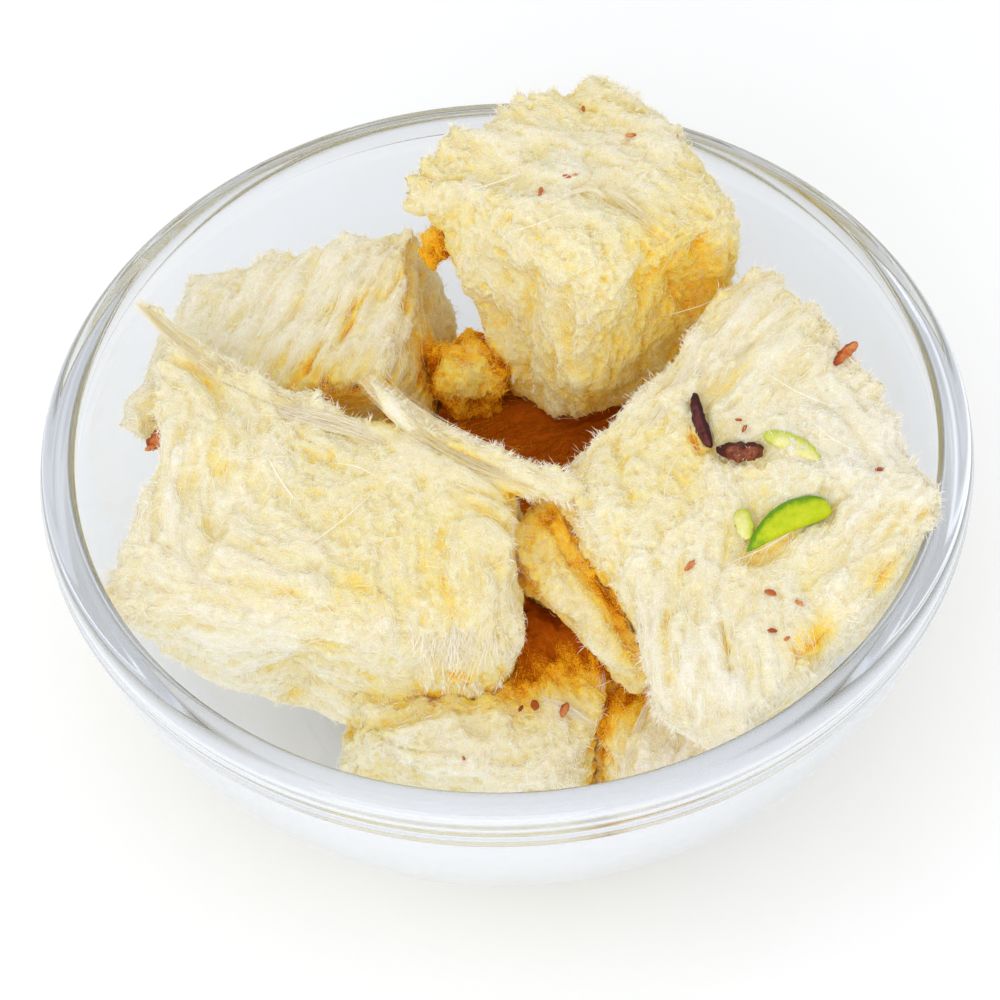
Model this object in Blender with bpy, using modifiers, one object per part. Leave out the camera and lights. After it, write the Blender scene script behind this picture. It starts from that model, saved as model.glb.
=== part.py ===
# Soan papdi in its round clear glass bowl: nine torn pieces of the flaky
# sweet, stacked in two layers, with nut slivers on the largest one.
# Metres, +Z up. The origin is the centre of the bowl's foot, on the table.
# The front of the pile faces -Y.

import math

import bmesh
import bpy
from mathutils import Euler, Matrix, Vector, noise
from mathutils.bvhtree import BVHTree

MM = 0.001

# Bowl
RIM_RADIUS = 0.060
BOWL_HEIGHT = 0.053
LIP_THICKNESS = 0.0046
WALL_THICKNESS = 0.0036
BAND_HEIGHT = 0.0060        # the straight band below the rim
BAND_STEP = 0.0005          # the wall steps in by this much under the band
FOOT_RADIUS = 0.0262
FLOOR_THICKNESS = 0.0044
RECESS_RADIUS = 0.0195      # shallow hollow inside the foot ring
RECESS_DEPTH = 0.0008
LIP_ROUNDING = 0.0016
ROUND_POWER = 1.60          # how fast the wall draws in towards the foot
DROP_POWER = 1.17           # how fast it drops below the band
WALL_STEPS = 9
TURN_STEPS = 60

# Pieces
GAP = 0.0004                # between pieces, and between a piece and the glass
EDGE_POWER = 12.0           # how boxy a piece is: higher is sharper
BOTTOM_TAPER = 0.85         # a piece's lower face against its upper one
FACE_LENGTH = 0.0043        # size of the relief grid
CRAG_LENGTH, CRAG_HEIGHT = 0.0125, 0.0015
FLAKE_LENGTH, FLAKE_HEIGHT = 0.0055, 0.0008
GRAIN_LENGTH, GRAIN_WIDTH, GRAIN_HEIGHT = 0.030, 0.0045, 0.0007
LAYER_THICKNESS, LAYER_STEP = 0.0052, 0.0011

# Each piece is a block: its middle and its size in mm, its turn in degrees,
# and how far each corner of the plain block was pulled or worn, in mm.
# A corner is named by its signs along the block's own x, y and z.
# Tears are (place on the block from -1 to 1, push in mm, reach in mm).
# A piece gives way to those above it in this list.
PIECES = {
    "piece_top_back": {
        "at": (13, 29.5, 50.5), "turn": (-4, 4, 40), "size": (32, 31, 31), "seed": 11,
        "corners": {"---": (0, 4, 1), "+--": (-5, -3, 0), "-+-": (-1, -11, -1),
                    "--+": (4, 3, -2), "+-+": (-3, -2, -2), "+++": (0, 0, 2.5), "-++": (-1, 2, 1)},
        "tears": [((-0.9, 0.9, 0.75), (-1.5, 2.5, 0), 7), ((0.4, -1, 0.35), (0, 2.2, 0), 9),
                  ((-1, 0.1, -0.3), (2.0, 0, 0), 9)],
    },
    "piece_right": {
        "at": (31, -11, 43), "turn": (3, -11, 31), "size": (42, 47, 21), "seed": 23,
        "corners": {"+--": (-2, 3, 2), "--+": (-6.5, -5, -1), "+-+": (-3, 3, 1),
                    "+++": (4, 4, -1), "-++": (5.5, -5, 0)},
        "tears": [((-1, -0.45, 1), (-3.0, 0, 0), 11), ((1, -0.4, -0.1), (-3.0, 1.0, 0), 8), ((0.3, 0.75, 1), (0, 0, 1.2), 9),
                  ((0.55, -1, 0.0), (0, 2.0, 0), 7)],
    },
    "piece_left_front": {
        "at": (-22.5, -7.5, 38), "turn": (9, 0, -13), "size": (50, 35, 25), "seed": 37,
        "corners": {"---": (3, 0, 0), "+--": (4, -3, -6), "--+": (-2, -4, 3), "+-+": (1, 5, -2.5),
                    "+++": (-1.5, -8.5, 1), "-++": (-2.5, 5, 0)},
        "tears": [((-0.45, 0.0, 1), (0, 0, -1.6), 8), ((-1, 0.1, 0.6), (3.5, 0, 0), 11), ((0.1, -0.8, 0.6), (0, 0.8, 1.5), 10),
                  ((-0.15, -1, -0.2), (0, 1.8, 0), 7), ((0.5, -1, -0.9), (0, -2.5, -2.5), 15)],
    },
    "piece_left_back": {
        "at": (-26, 26, 38), "turn": (0, -13, -3), "size": (39, 29, 22), "seed": 41,
        "corners": {"+--": (0, 3, 3), "++-": (3, 0, -1), "-+-": (3, -2, 1), "--+": (-4, -1, 1),
                    "+-+": (-6, 2, -3), "+++": (-1, 2, -1.5), "-++": (4, -4, 1)},
        "tears": [((-1, -0.6, -0.1), (-2.0, -1.0, 0), 8), ((0.2, 0.2, 1), (0, 0, -1.0), 8)],
    },
    "piece_middle": {
        "at": (11.5, -15.5, 38.5), "turn": (7, 14, -42), "size": (31, 16, 8), "seed": 53,
        "corners": {"--+": (3, 1, 0.5), "+-+": (-4.5, 1, -1), "-++": (2, -2, 0)},
        "tears": [((-0.2, 0.5, 1), (0, 0, -0.8), 6)],
    },
    "chunk": {
        "at": (-4.5, 21, 38), "turn": (-3, 0, 17), "size": (9, 8.5, 10), "seed": 67,
        "corners": {"---": (1, 0.5, 1), "+-+": (-1, 0.5, 0), "+++": (-1, -1, -1.5), "-++": (1, -1, -0.5)},
        "tears": [],
    },
    "piece_bottom_front": {
        "at": (-4.9, -22.7, 18.5), "turn": (8, 1, -19), "size": (36, 29, 26), "seed": 71,
        "corners": {"+--": (-0.5, 1, 1), "--+": (2.5, 1, 0.5), "+-+": (-1, 4, -1), "+++": (0, -1, 0),
                    "-++": (0, 0, -1)},
        "tears": [((0.1, -0.2, 1), (0, 0, -0.9), 8), ((1, 0.2, 0.3), (-1.5, 0, 0), 7)],
    },
    "piece_bottom_right": {
        "at": (22, -21.7, 18), "turn": (5, -3, 40), "size": (32, 26, 23), "seed": 83,
        "corners": {"---": (0, 2, 2), "+--": (0, 2, 2), "--+": (-2, 3, -1), "+++": (0, 0, -2), "-++": (2, -7, -1)},
        "tears": [((-0.7, -0.4, 1), (0, 0, 1.0), 7)],
    },
    "piece_bottom_back": {
        "at": (1, 15.2, 19), "turn": (3, 0, 7), "size": (49, 38, 30), "seed": 97,
        "corners": {},
        "tears": [((0.1, -0.5, 1), (0, 0, -1.6), 10), ((-0.5, 0.3, 1), (0, 0, 1.0), 9)],
    },
}

# Loose bundles of threads that stand off a piece: the points of each bundle
# in mm, in the bowl's frame, and its thickest radius in mm.
BUNDLES = {
    "piece_left_front": [
        ([(-17, 7, 54.5), (-12.5, 1.5, 53), (-7, -2.5, 52), (-1, -6, 51.5), (5, -8.5, 51), (9.5, -9.5, 50.5)], 2.1),
        ([(-47, 20.5, 54), (-42, 15, 54), (-34, 9, 53.5), (-27, 5.5, 53)], 1.3),
    ],
    "piece_top_back": [([(-1, 32, 58), (-6, 33, 54), (-9, 33.7, 50)], 2.4)],
}

# Slivers pressed into the upper face of a piece: middle on the block's own
# x and y in mm, turn on the face in degrees, then length, width and height
# in mm, and how far the sliver bows sideways in mm.
SLIVERS = {
    "piece_right": [
        ((1.4, -8.0), -3, 11.6, 3.7, 2.4, 0.9),
        ((7.9, 0.4), -69, 8.6, 2.7, 1.5, 0.3),
        ((1.5, 10.8), 65, 7.6, 1.8, 1.8, 0.3),
        ((2.7, 3.9), -55, 5.4, 2.1, 1.7, 0.2),
        ((-3.1, -5.0), 60, 4.0, 2.0, 1.2, 0.0),
    ],
}
SLIVER_AROUND, SLIVER_ALONG = 8, 6
SLIVER_SUNK = 0.35          # the share of a sliver's height that is pressed in

SWEET_COLOUR = (0.93, 0.85, 0.64)
GLASS_COLOUR = (0.92, 0.94, 0.96)


def clear_scene():
    for thing in list(bpy.data.objects):
        bpy.data.objects.remove(thing, do_unlink=True)


def new_collection(name):
    collection = bpy.data.collections.new(name)
    bpy.context.scene.collection.children.link(collection)
    return collection


def new_material(name, colour, roughness, transmission=0.0):
    material = bpy.data.materials.new(name)
    material.use_nodes = True
    shader = material.node_tree.nodes["Principled BSDF"]
    shader.inputs["Base Color"].default_value = (*colour, 1.0)
    shader.inputs["Roughness"].default_value = roughness
    shader.inputs["Metallic"].default_value = 0.0
    shader.inputs["Transmission Weight"].default_value = transmission
    return material


def add_object(name, mesh, collection):
    thing = bpy.data.objects.new(name, mesh)
    collection.objects.link(thing)
    return thing


def evaluated_mesh(thing):
    """The object's mesh with its modifiers, in world space."""
    bpy.context.view_layer.update()
    depsgraph = bpy.context.evaluated_depsgraph_get()
    mesh = bpy.data.meshes.new_from_object(thing.evaluated_get(depsgraph))
    mesh.transform(thing.matrix_world)
    return mesh


# ---------------------------------------------------------------- bowl

def outer_wall():
    """Points down the outside, from under the band to the foot."""
    top_radius = RIM_RADIUS - BAND_STEP
    drop = BOWL_HEIGHT - BAND_HEIGHT
    points = []
    for step in range(WALL_STEPS + 1):
        angle = step / WALL_STEPS * math.pi / 2
        radius = FOOT_RADIUS + (top_radius - FOOT_RADIUS) * max(math.cos(angle), 0.0) ** ROUND_POWER
        height = drop * (1 - math.sin(angle) ** DROP_POWER)
        points.append(Vector((radius, height)))
    return points


def inner_wall():
    """The outer wall moved in by its thickness, from the floor upwards."""
    outer = outer_wall()
    points = []
    for before, point, after in zip(outer, outer[1:], outer[2:]):
        along = (after - before).normalized()
        inward = Vector((along.y, -along.x))
        moved = point + inward * WALL_THICKNESS
        if moved.y > FLOOR_THICKNESS + 0.001:
            points.append(moved)
    points.reverse()
    return points


def corner_arc(centre, radius, start, end, steps=3):
    """Points on an arc of the lip, angles in degrees."""
    points = []
    for step in range(steps + 1):
        angle = math.radians(start + (end - start) * step / steps)
        points.append(centre + Vector((math.cos(angle), math.sin(angle))) * radius)
    return points


def bowl_profile():
    """Half section at +X: over the lip from inside, down the outside, under the foot."""
    lip_inner = RIM_RADIUS - LIP_THICKNESS
    rounding = LIP_ROUNDING
    profile = [Vector((0, FLOOR_THICKNESS)), Vector((FOOT_RADIUS * 0.72, FLOOR_THICKNESS))]
    profile += inner_wall()
    profile += corner_arc(Vector((lip_inner + rounding, BOWL_HEIGHT - rounding)), rounding, 180, 90)
    profile += corner_arc(Vector((RIM_RADIUS - rounding, BOWL_HEIGHT - rounding)), rounding, 90, 0)
    profile.append(Vector((RIM_RADIUS, BOWL_HEIGHT - BAND_HEIGHT + BAND_STEP)))
    profile += outer_wall()
    profile.append(Vector((RECESS_RADIUS + RECESS_DEPTH, 0)))
    profile.append(Vector((RECESS_RADIUS, RECESS_DEPTH)))
    profile.append(Vector((0, RECESS_DEPTH)))
    return profile


def make_bowl(collection, material):
    profile = bowl_profile()
    mesh = bpy.data.meshes.new("bowl")
    work = bmesh.new()
    verts = [work.verts.new((point.x, 0, point.y)) for point in profile]
    for first, second in zip(verts, verts[1:]):
        work.edges.new((first, second))
    work.to_mesh(mesh)
    work.free()
    bowl = add_object("bowl", mesh, collection)
    screw = bowl.modifiers.new("turn", "SCREW")
    screw.axis = "Z"
    screw.steps = TURN_STEPS
    screw.render_steps = TURN_STEPS
    screw.use_merge_vertices = True
    screw.merge_threshold = 0.00001
    screw.use_smooth_shade = True
    bowl.data.materials.append(material)
    return bowl


# -------------------------------------------------------------- pieces

def corner_signs(name):
    return Vector([1.0 if sign == "+" else -1.0 for sign in name])


def boxed(unit):
    """A point of the unit cube, moved onto a box with rounded edges."""
    largest = max(abs(part) for part in unit)
    spread = sum(abs(part) ** EDGE_POWER for part in unit) ** (1 / EDGE_POWER)
    return unit * (largest / spread)


def shaped(unit, piece):
    """From the unit cube to the piece's own frame, in metres, before its relief."""
    rounded = boxed(unit)
    taper = BOTTOM_TAPER + (1 - BOTTOM_TAPER) * (rounded.z + 1) / 2
    half = Vector(piece["size"]) * MM / 2
    place = Vector((rounded.x * half.x * taper, rounded.y * half.y * taper, rounded.z * half.z))
    for name, shift in piece["corners"].items():
        signs = corner_signs(name)
        share = 1.0
        for part, sign in zip(rounded, signs):
            share *= (1 + part * sign) / 2
        place += Vector(shift) * MM * share
    for spot, push, reach in piece["tears"]:
        away = (Vector([(a - b) * c for a, b, c in zip(rounded, spot, half)])).length / (reach * MM)
        if away < 1:
            place += Vector(push) * MM * (1 - away * away) ** 2
    return place


def relief(place, seed):
    """How far the torn surface stands out at a place, in metres."""
    offset = Vector((seed, -seed * 0.7, seed * 1.3))
    crag = noise.noise(place / CRAG_LENGTH + offset) * CRAG_HEIGHT
    flake = noise.noise(place / FLAKE_LENGTH - offset) * FLAKE_HEIGHT
    stretched = Vector((place.x / GRAIN_WIDTH, place.y / GRAIN_LENGTH, place.z / GRAIN_LENGTH))
    grain = noise.noise(stretched + offset * 2) * GRAIN_HEIGHT
    layer = math.floor(place.z / LAYER_THICKNESS)
    ledge = noise.noise(Vector((place.x, place.y, 0)) / CRAG_LENGTH + Vector((0, 0, layer * 7.3 + seed)))
    return crag + flake + grain + ledge * LAYER_STEP


def grid_cube(size):
    """A unit cube whose faces are cut into a grid of about FACE_LENGTH."""
    work = bmesh.new()
    bmesh.ops.create_cube(work, size=2)
    for axis in range(3):
        cuts = max(1, round(size[axis] * MM / FACE_LENGTH) - 1)
        along = [edge for edge in work.edges
                 if abs(edge.verts[0].co[axis] - edge.verts[1].co[axis]) > 1.9]
        bmesh.ops.subdivide_edges(work, edges=along, cuts=cuts, use_grid_fill=True)
    return work


def make_piece(name, piece, collection, material):
    work = grid_cube(piece["size"])
    for vert in work.verts:
        vert.co = shaped(vert.co.copy(), piece)
    work.normal_update()
    moves = [(vert, vert.normal * relief(vert.co, piece["seed"])) for vert in work.verts]
    for vert, move in moves:
        vert.co += move
    bmesh.ops.triangulate(work, faces=work.faces[:])
    mesh = bpy.data.meshes.new(name)
    work.to_mesh(mesh)
    work.free()
    thing = add_object(name, mesh, collection)
    thing.location = Vector(piece["at"]) * MM
    thing.rotation_euler = Euler([math.radians(angle) for angle in piece["turn"]])
    thing.data.materials.append(material)
    return thing


def bundle_mesh(points, radius, collection):
    """A tapered tube of threads along a smooth line, as a closed mesh."""
    curve = bpy.data.curves.new("bundle", "CURVE")
    curve.dimensions = "3D"
    curve.bevel_depth = radius * MM
    curve.bevel_resolution = 1
    curve.use_fill_caps = True
    spline = curve.splines.new("POLY")
    spline.points.add(len(points) - 1)
    last = len(points) - 1
    for index, point in enumerate(points):
        spline.points[index].co = (*(Vector(point) * MM), 1.0)
        spline.points[index].radius = 0.45 + 0.55 * math.sin(math.pi * (0.15 + 0.7 * index / last))
    guide = add_object("bundle", curve, collection)
    mesh = evaluated_mesh(guide)
    bpy.data.objects.remove(guide, do_unlink=True)
    work = bmesh.new()
    work.from_mesh(mesh)
    bmesh.ops.remove_doubles(work, verts=work.verts[:], dist=0.00001)
    bmesh.ops.recalc_face_normals(work, faces=work.faces[:])
    work.to_mesh(mesh)
    work.free()
    return mesh


def sliver_mesh(sliver, thing, tree, half_height):
    """A bowed, pointed sliver lying in the upper face of a piece."""
    (x, y), turn, length, width, height, bow = sliver
    above = Vector((x * MM, y * MM, half_height + 0.02))
    hit, normal, _, _ = tree.ray_cast(above, Vector((0, 0, -1)))
    work = bmesh.new()
    bmesh.ops.create_uvsphere(work, u_segments=SLIVER_AROUND, v_segments=SLIVER_ALONG, radius=1.0)
    for vert in work.verts:
        along, across, up = vert.co.z, vert.co.x, vert.co.y
        vert.co = Vector((along * length / 2, across * width / 2 + bow * (1 - along * along),
                          up * height / 2 + height * (0.5 - SLIVER_SUNK))) * MM
    frame = normal.to_track_quat("Z", "Y").to_matrix().to_4x4()
    spin = Matrix.Rotation(math.radians(turn) - frame.to_euler().z, 4, "Z")
    work.transform(thing.matrix_world @ Matrix.Translation(hit) @ frame @ spin)
    mesh = bpy.data.meshes.new("sliver")
    work.to_mesh(mesh)
    work.free()
    return mesh


def swollen(thing, collection):
    """A cutter: the object's shape, thicker all over by the gap."""
    mesh = evaluated_mesh(thing)
    work = bmesh.new()
    work.from_mesh(mesh)
    work.normal_update()
    moves = [(vert, vert.normal * GAP) for vert in work.verts]
    for vert, move in moves:
        vert.co += move
    work.to_mesh(mesh)
    work.free()
    cutter = add_object("cutter", mesh, collection)
    cutter.hide_render = True
    cutter.display_type = "WIRE"
    return cutter


def drop_scraps(mesh):
    """Keeps the largest loose part of a mesh."""
    work = bmesh.new()
    work.from_mesh(mesh)
    bmesh.ops.remove_doubles(work, verts=work.verts[:], dist=0.00002)
    left = set(work.verts)
    parts = []
    while left:
        part = set()
        border = [left.pop()]
        while border:
            vert = border.pop()
            part.add(vert)
            for edge in vert.link_edges:
                other = edge.other_vert(vert)
                if other in left:
                    left.remove(other)
                    border.append(other)
        parts.append(part)
    parts.sort(key=len)
    scraps = [vert for part in parts[:-1] for vert in part]
    bmesh.ops.delete(work, geom=scraps, context="VERTS")
    bmesh.ops.triangulate(work, faces=work.faces[:])
    work.to_mesh(mesh)
    work.free()


def combine(thing, others, operation):
    """Joins or cuts a piece with others, keeps the result, and frees the others."""
    for other in others:
        boolean = thing.modifiers.new(operation.lower(), "BOOLEAN")
        boolean.operation = operation
        boolean.solver = "EXACT"
        boolean.object = other
    mesh = evaluated_mesh(thing)
    thing.modifiers.clear()
    mesh.transform(thing.matrix_world.inverted())
    drop_scraps(mesh)
    mesh.name = thing.name
    thing.data = mesh
    for other in others:
        bpy.data.objects.remove(other, do_unlink=True)


def boxes_meet(first, second):
    """Whether the boxes of two objects come within the gap of each other."""
    corners = [[thing.matrix_world @ Vector(corner) for corner in thing.bound_box] for thing in (first, second)]
    for axis in range(3):
        spans = [(min(c[axis] for c in group), max(c[axis] for c in group)) for group in corners]
        if spans[0][0] > spans[1][1] + 2 * GAP or spans[1][0] > spans[0][1] + 2 * GAP:
            return False
    return True


def dress_piece(thing, piece, cutters):
    """Fuses a piece's bundles and slivers to it."""
    extras = []
    for points, radius in BUNDLES.get(thing.name, []):
        extras.append(add_object("bundle", bundle_mesh(points, radius, cutters), cutters))
    slivers = SLIVERS.get(thing.name, [])
    if slivers:
        work = bmesh.new()
        work.from_mesh(thing.data)
        tree = BVHTree.FromBMesh(work)
        work.free()
        half_height = piece["size"][2] * MM / 2
        for sliver in slivers:
            extras.append(add_object("sliver", sliver_mesh(sliver, thing, tree, half_height), cutters))
    if extras:
        combine(thing, extras, "UNION")


def main():
    clear_scene()
    parts = new_collection("soan_papdi_bowl")
    cutters = new_collection("cutters")
    glass = new_material("clear_glass", GLASS_COLOUR, 0.05, 1.0)
    sweet = new_material("flaky_sweet", SWEET_COLOUR, 0.9)

    bowl = make_bowl(parts, glass)
    placed = []
    for name, piece in PIECES.items():
        thing = make_piece(name, piece, parts, sweet.copy())
        bpy.context.view_layer.update()
        dress_piece(thing, piece, cutters)
        bpy.context.view_layer.update()
        near = [bowl] + [other for other in placed if boxes_meet(thing, other)]
        combine(thing, [swollen(other, cutters) for other in near], "DIFFERENCE")
        placed.append(thing)


main()
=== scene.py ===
import math

import bmesh
import bpy
import numpy as np
from mathutils import Matrix, Vector
from mathutils.bvhtree import BVHTree


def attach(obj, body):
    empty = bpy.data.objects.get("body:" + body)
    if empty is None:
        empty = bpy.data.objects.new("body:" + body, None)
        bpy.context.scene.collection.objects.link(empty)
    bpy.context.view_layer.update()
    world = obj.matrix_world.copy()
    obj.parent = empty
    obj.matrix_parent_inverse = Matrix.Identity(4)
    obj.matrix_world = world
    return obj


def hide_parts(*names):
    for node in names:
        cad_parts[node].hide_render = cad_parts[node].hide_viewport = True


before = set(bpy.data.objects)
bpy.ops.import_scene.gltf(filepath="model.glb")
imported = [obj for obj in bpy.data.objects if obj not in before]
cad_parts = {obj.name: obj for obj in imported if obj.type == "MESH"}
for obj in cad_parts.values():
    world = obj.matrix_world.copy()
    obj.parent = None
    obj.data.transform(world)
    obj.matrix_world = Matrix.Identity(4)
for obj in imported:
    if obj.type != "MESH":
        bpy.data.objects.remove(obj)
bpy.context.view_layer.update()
mm = 0.001
scene = bpy.context.scene
print("frame loaded:", len(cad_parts), "nodes")


# small helpers

def link(thing):
    scene.collection.objects.link(thing)
    return thing


def gradientNoise(points, seed=0):        # smooth noise, about -1 to 1, one value a row
    base = np.floor(points).astype(np.int64)
    part = points - base
    fade = part ** 3 * (part * (part * 6 - 15) + 10)
    total = np.zeros(len(points))
    for corner in range(8):
        step = np.array([(corner >> 2) & 1, (corner >> 1) & 1, corner & 1])
        cell = base + step
        code = (cell[:, 0] * 73856093) ^ (cell[:, 1] * 19349663) ^ (cell[:, 2] * 83492791)
        code = code ^ (seed * 7919 + 13)
        code = (code * 2654435761) & 0xffffffff
        code = ((code ^ (code >> 15)) * 2246822519) & 0xffffffff
        code = ((code ^ (code >> 13)) * 3266489917) & 0xffffffff
        code = code ^ (code >> 16)
        slope = np.stack([(code & 1023), (code >> 10) & 1023, (code >> 20) & 1023], 1) / 511.5 - 1
        weight = np.prod(np.where(step == 1, fade, 1 - fade), axis=1)
        total += (slope * (part - step)).sum(1) * weight
    return total * 1.5


def noiseVectors(points, seed):
    return np.stack([gradientNoise(points, seed + axis) for axis in range(3)], 1)


def unit(vectors):
    return vectors / (np.linalg.norm(vectors, axis=-1, keepdims=True) + 1e-12)


def smoothStep(low, high, value):
    share = np.clip((value - low) / (high - low), 0, 1)
    return share * share * (3 - 2 * share)


def nearness(points, middle, reach):      # 1 at the middle, fading with the distance
    return np.exp(-((points - np.array(middle, float)) ** 2).sum(1) / (reach * reach))


def lineDistance(points, line):           # distance from each point to a polyline
    best = np.full(len(points), 1e9)
    for start, end in zip(line, line[1:]):
        start, along = np.array(start, float), np.array(end, float) - np.array(start, float)
        share = np.clip(((points - start) @ along) / (along @ along + 1e-12), 0, 1)
        best = np.minimum(best, np.linalg.norm(points - start - share[:, None] * along, axis=1))
    return best


def lineFade(points, line, width, power=2):   # 1 on the line, fading beside it
    return np.exp(-(lineDistance(points, line) / width) ** power)


def meshArrays(mesh):
    verts = np.empty(len(mesh.vertices) * 3)
    mesh.vertices.foreach_get("co", verts)
    mesh.calc_loop_triangles()
    faces = np.empty(len(mesh.loop_triangles) * 3, dtype=np.int32)
    mesh.loop_triangles.foreach_get("vertices", faces)
    return verts.reshape(-1, 3), faces.reshape(-1, 3)


def meshFrom(name, verts, faces, smooth=True):   # a triangle mesh from arrays, in metres
    mesh = bpy.data.meshes.new(name)
    mesh.vertices.add(len(verts))
    mesh.vertices.foreach_set("co", np.ascontiguousarray(verts, dtype=np.float32).ravel())
    mesh.loops.add(len(faces) * 3)
    mesh.loops.foreach_set("vertex_index", np.ascontiguousarray(faces, dtype=np.int32).ravel())
    mesh.polygons.add(len(faces))
    mesh.polygons.foreach_set("loop_start", np.arange(0, len(faces) * 3, 3, dtype=np.int32))
    mesh.polygons.foreach_set("use_smooth", np.full(len(faces), smooth))
    mesh.update(calc_edges=True)
    mesh.validate()
    return mesh


def facedOutward(mesh):
    work = bmesh.new()
    work.from_mesh(mesh)
    bmesh.ops.recalc_face_normals(work, faces=work.faces[:])
    work.to_mesh(mesh)
    work.free()
    return mesh


def setAttributes(mesh, values):
    for name, value in values.items():
        layer = mesh.attributes.new(name, "FLOAT", "POINT")
        layer.data.foreach_set("value", np.ascontiguousarray(value, dtype=np.float32))


def faceCross(verts, faces):              # square to each triangle, twice its area long
    first = verts[faces[:, 0]]
    return np.cross(verts[faces[:, 1]] - first, verts[faces[:, 2]] - first)


def vertexNormals(verts, faces):
    cross = faceCross(verts, faces)
    normals = np.zeros_like(verts)
    for corner in range(3):
        np.add.at(normals, faces[:, corner], cross)
    return unit(normals)


def meshEdges(faces, size):               # each triangle's edges, and how many of them end at each vertex
    edges = np.vstack([faces[:, [0, 1]], faces[:, [1, 2]], faces[:, [2, 0]]])
    return edges, np.bincount(edges.ravel(), minlength=size)


def neighbourSum(values, edges):
    return (np.bincount(edges[:, 0], values[edges[:, 1]], len(values))
            + np.bincount(edges[:, 1], values[edges[:, 0]], len(values)))


def newMaterial(name, sockets):           # sockets: plain values on the shader
    material = bpy.data.materials.new(name)
    material.use_nodes = True
    shader = material.node_tree.nodes["Principled BSDF"]
    for key, value in sockets.items():
        shader.inputs[key].default_value = value
    return material, material.node_tree, shader


def mathNode(tree, operation, first, second, clamp=False):
    node = tree.nodes.new("ShaderNodeMath")
    node.operation = operation
    node.use_clamp = clamp
    for socket, value in zip(node.inputs, (first, second)):
        if isinstance(value, (int, float)):
            socket.default_value = value
        else:
            tree.links.new(value, socket)
    return node.outputs[0]


def noiseNode(tree, coordinate, scale, detail, roughness=0.6):
    node = tree.nodes.new("ShaderNodeTexNoise")
    for key, value in (("Scale", scale), ("Detail", detail), ("Roughness", roughness)):
        node.inputs[key].default_value = value
    tree.links.new(coordinate, node.inputs["Vector"])
    return node.outputs["Fac"]


def attributeNode(tree, name):
    node = tree.nodes.new("ShaderNodeAttribute")
    node.attribute_name = name
    return node.outputs["Fac"]


def rampNode(tree, level, stops):         # stops: (position, colour), in order
    ramp = tree.nodes.new("ShaderNodeValToRGB")
    elements = ramp.color_ramp.elements
    for element, (position, colour) in zip(elements, (stops[0], stops[-1])):
        element.position, element.color = position, (*colour, 1)
    for position, colour in stops[1:-1]:
        elements.new(position).color = (*colour, 1)
    tree.links.new(level, ramp.inputs["Fac"])
    return ramp.outputs["Color"]


def bumpNode(tree, shader, height, strength, distance):
    bump = tree.nodes.new("ShaderNodeBump")
    bump.inputs["Strength"].default_value = strength
    bump.inputs["Distance"].default_value = distance
    tree.links.new(height, bump.inputs["Height"])
    tree.links.new(bump.outputs["Normal"], shader.inputs["Normal"])


# the bowl, in mm

bowlLook = {
    "rimRadius": 60.0, "height": 53.0, "lip": 4.6, "wall": 3.6, "band": 6.0, "bandStep": 0.5,
    "footRadius": 26.2, "floor": 4.4, "recessRadius": 19.5, "recessDepth": 0.8, "rounding": 1.6,
    "roundPower": 1.60, "dropPower": 1.17, "wallSteps": 56, "turns": 240,
    "bandLines": (50.4, 48.6), "lineHeight": 0.22, "lineWidth": 0.35,
    "tint": (0.775, 0.812, 0.885), "innerTint": (0.985, 0.990, 0.995), "innerBend": 0.5, "roughness": 0.05,
    "ior": 1.46, "shadow": (0.90, 0.91, 0.93), "lastBend": 5,
}


def arcPoints(centre, radius, start, end, steps):
    angles = np.radians(np.linspace(start, end, steps + 1))
    return [(centre[0] + radius * math.cos(a), centre[1] + radius * math.sin(a)) for a in angles]


def bowlProfile(look):                    # half section in mm, from the middle of the floor round to the foot
    topRadius = look["rimRadius"] - look["bandStep"]
    drop = look["height"] - look["band"]
    outer = []
    for step in range(look["wallSteps"] + 1):
        angle = step / look["wallSteps"] * math.pi / 2
        reach = max(math.cos(angle), 0) ** look["roundPower"]
        radius = look["footRadius"] + (topRadius - look["footRadius"]) * reach
        outer.append((radius, drop * (1 - math.sin(angle) ** look["dropPower"])))
    outer = np.array(outer)
    along = unit(outer[2:] - outer[:-2])
    inner = outer[1:-1] + np.stack([along[:, 1], -along[:, 0]], 1) * look["wall"]
    inner = [tuple(p) for p in inner[inner[:, 1] > look["floor"] + 1.0]][::-1]
    rounding = look["rounding"]
    lipInner = look["rimRadius"] - look["lip"]
    profile = [(look["footRadius"] * share, look["floor"]) for share in (0.0, 0.45, 0.72)]
    profile += inner
    profile += arcPoints((lipInner + rounding, look["height"] - rounding), rounding, 180, 90, 8)
    profile += arcPoints((look["rimRadius"] - rounding, look["height"] - rounding), rounding, 90, 0, 8)
    # the band below the rim, with two fine moulded lines
    for level in np.linspace(look["height"] - rounding - 0.2, drop + look["bandStep"], 16):
        swell = sum(math.exp(-((level - line) / look["lineWidth"]) ** 2) for line in look["bandLines"])
        profile.append((look["rimRadius"] + look["lineHeight"] * swell, level))
    profile += [tuple(p) for p in outer]
    recess, depth = look["recessRadius"], look["recessDepth"]
    profile += [(recess + depth, 0.0), (recess, depth), (0.0, depth)]
    return np.array(profile)


bowlSection = bowlProfile(bowlLook)


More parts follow.
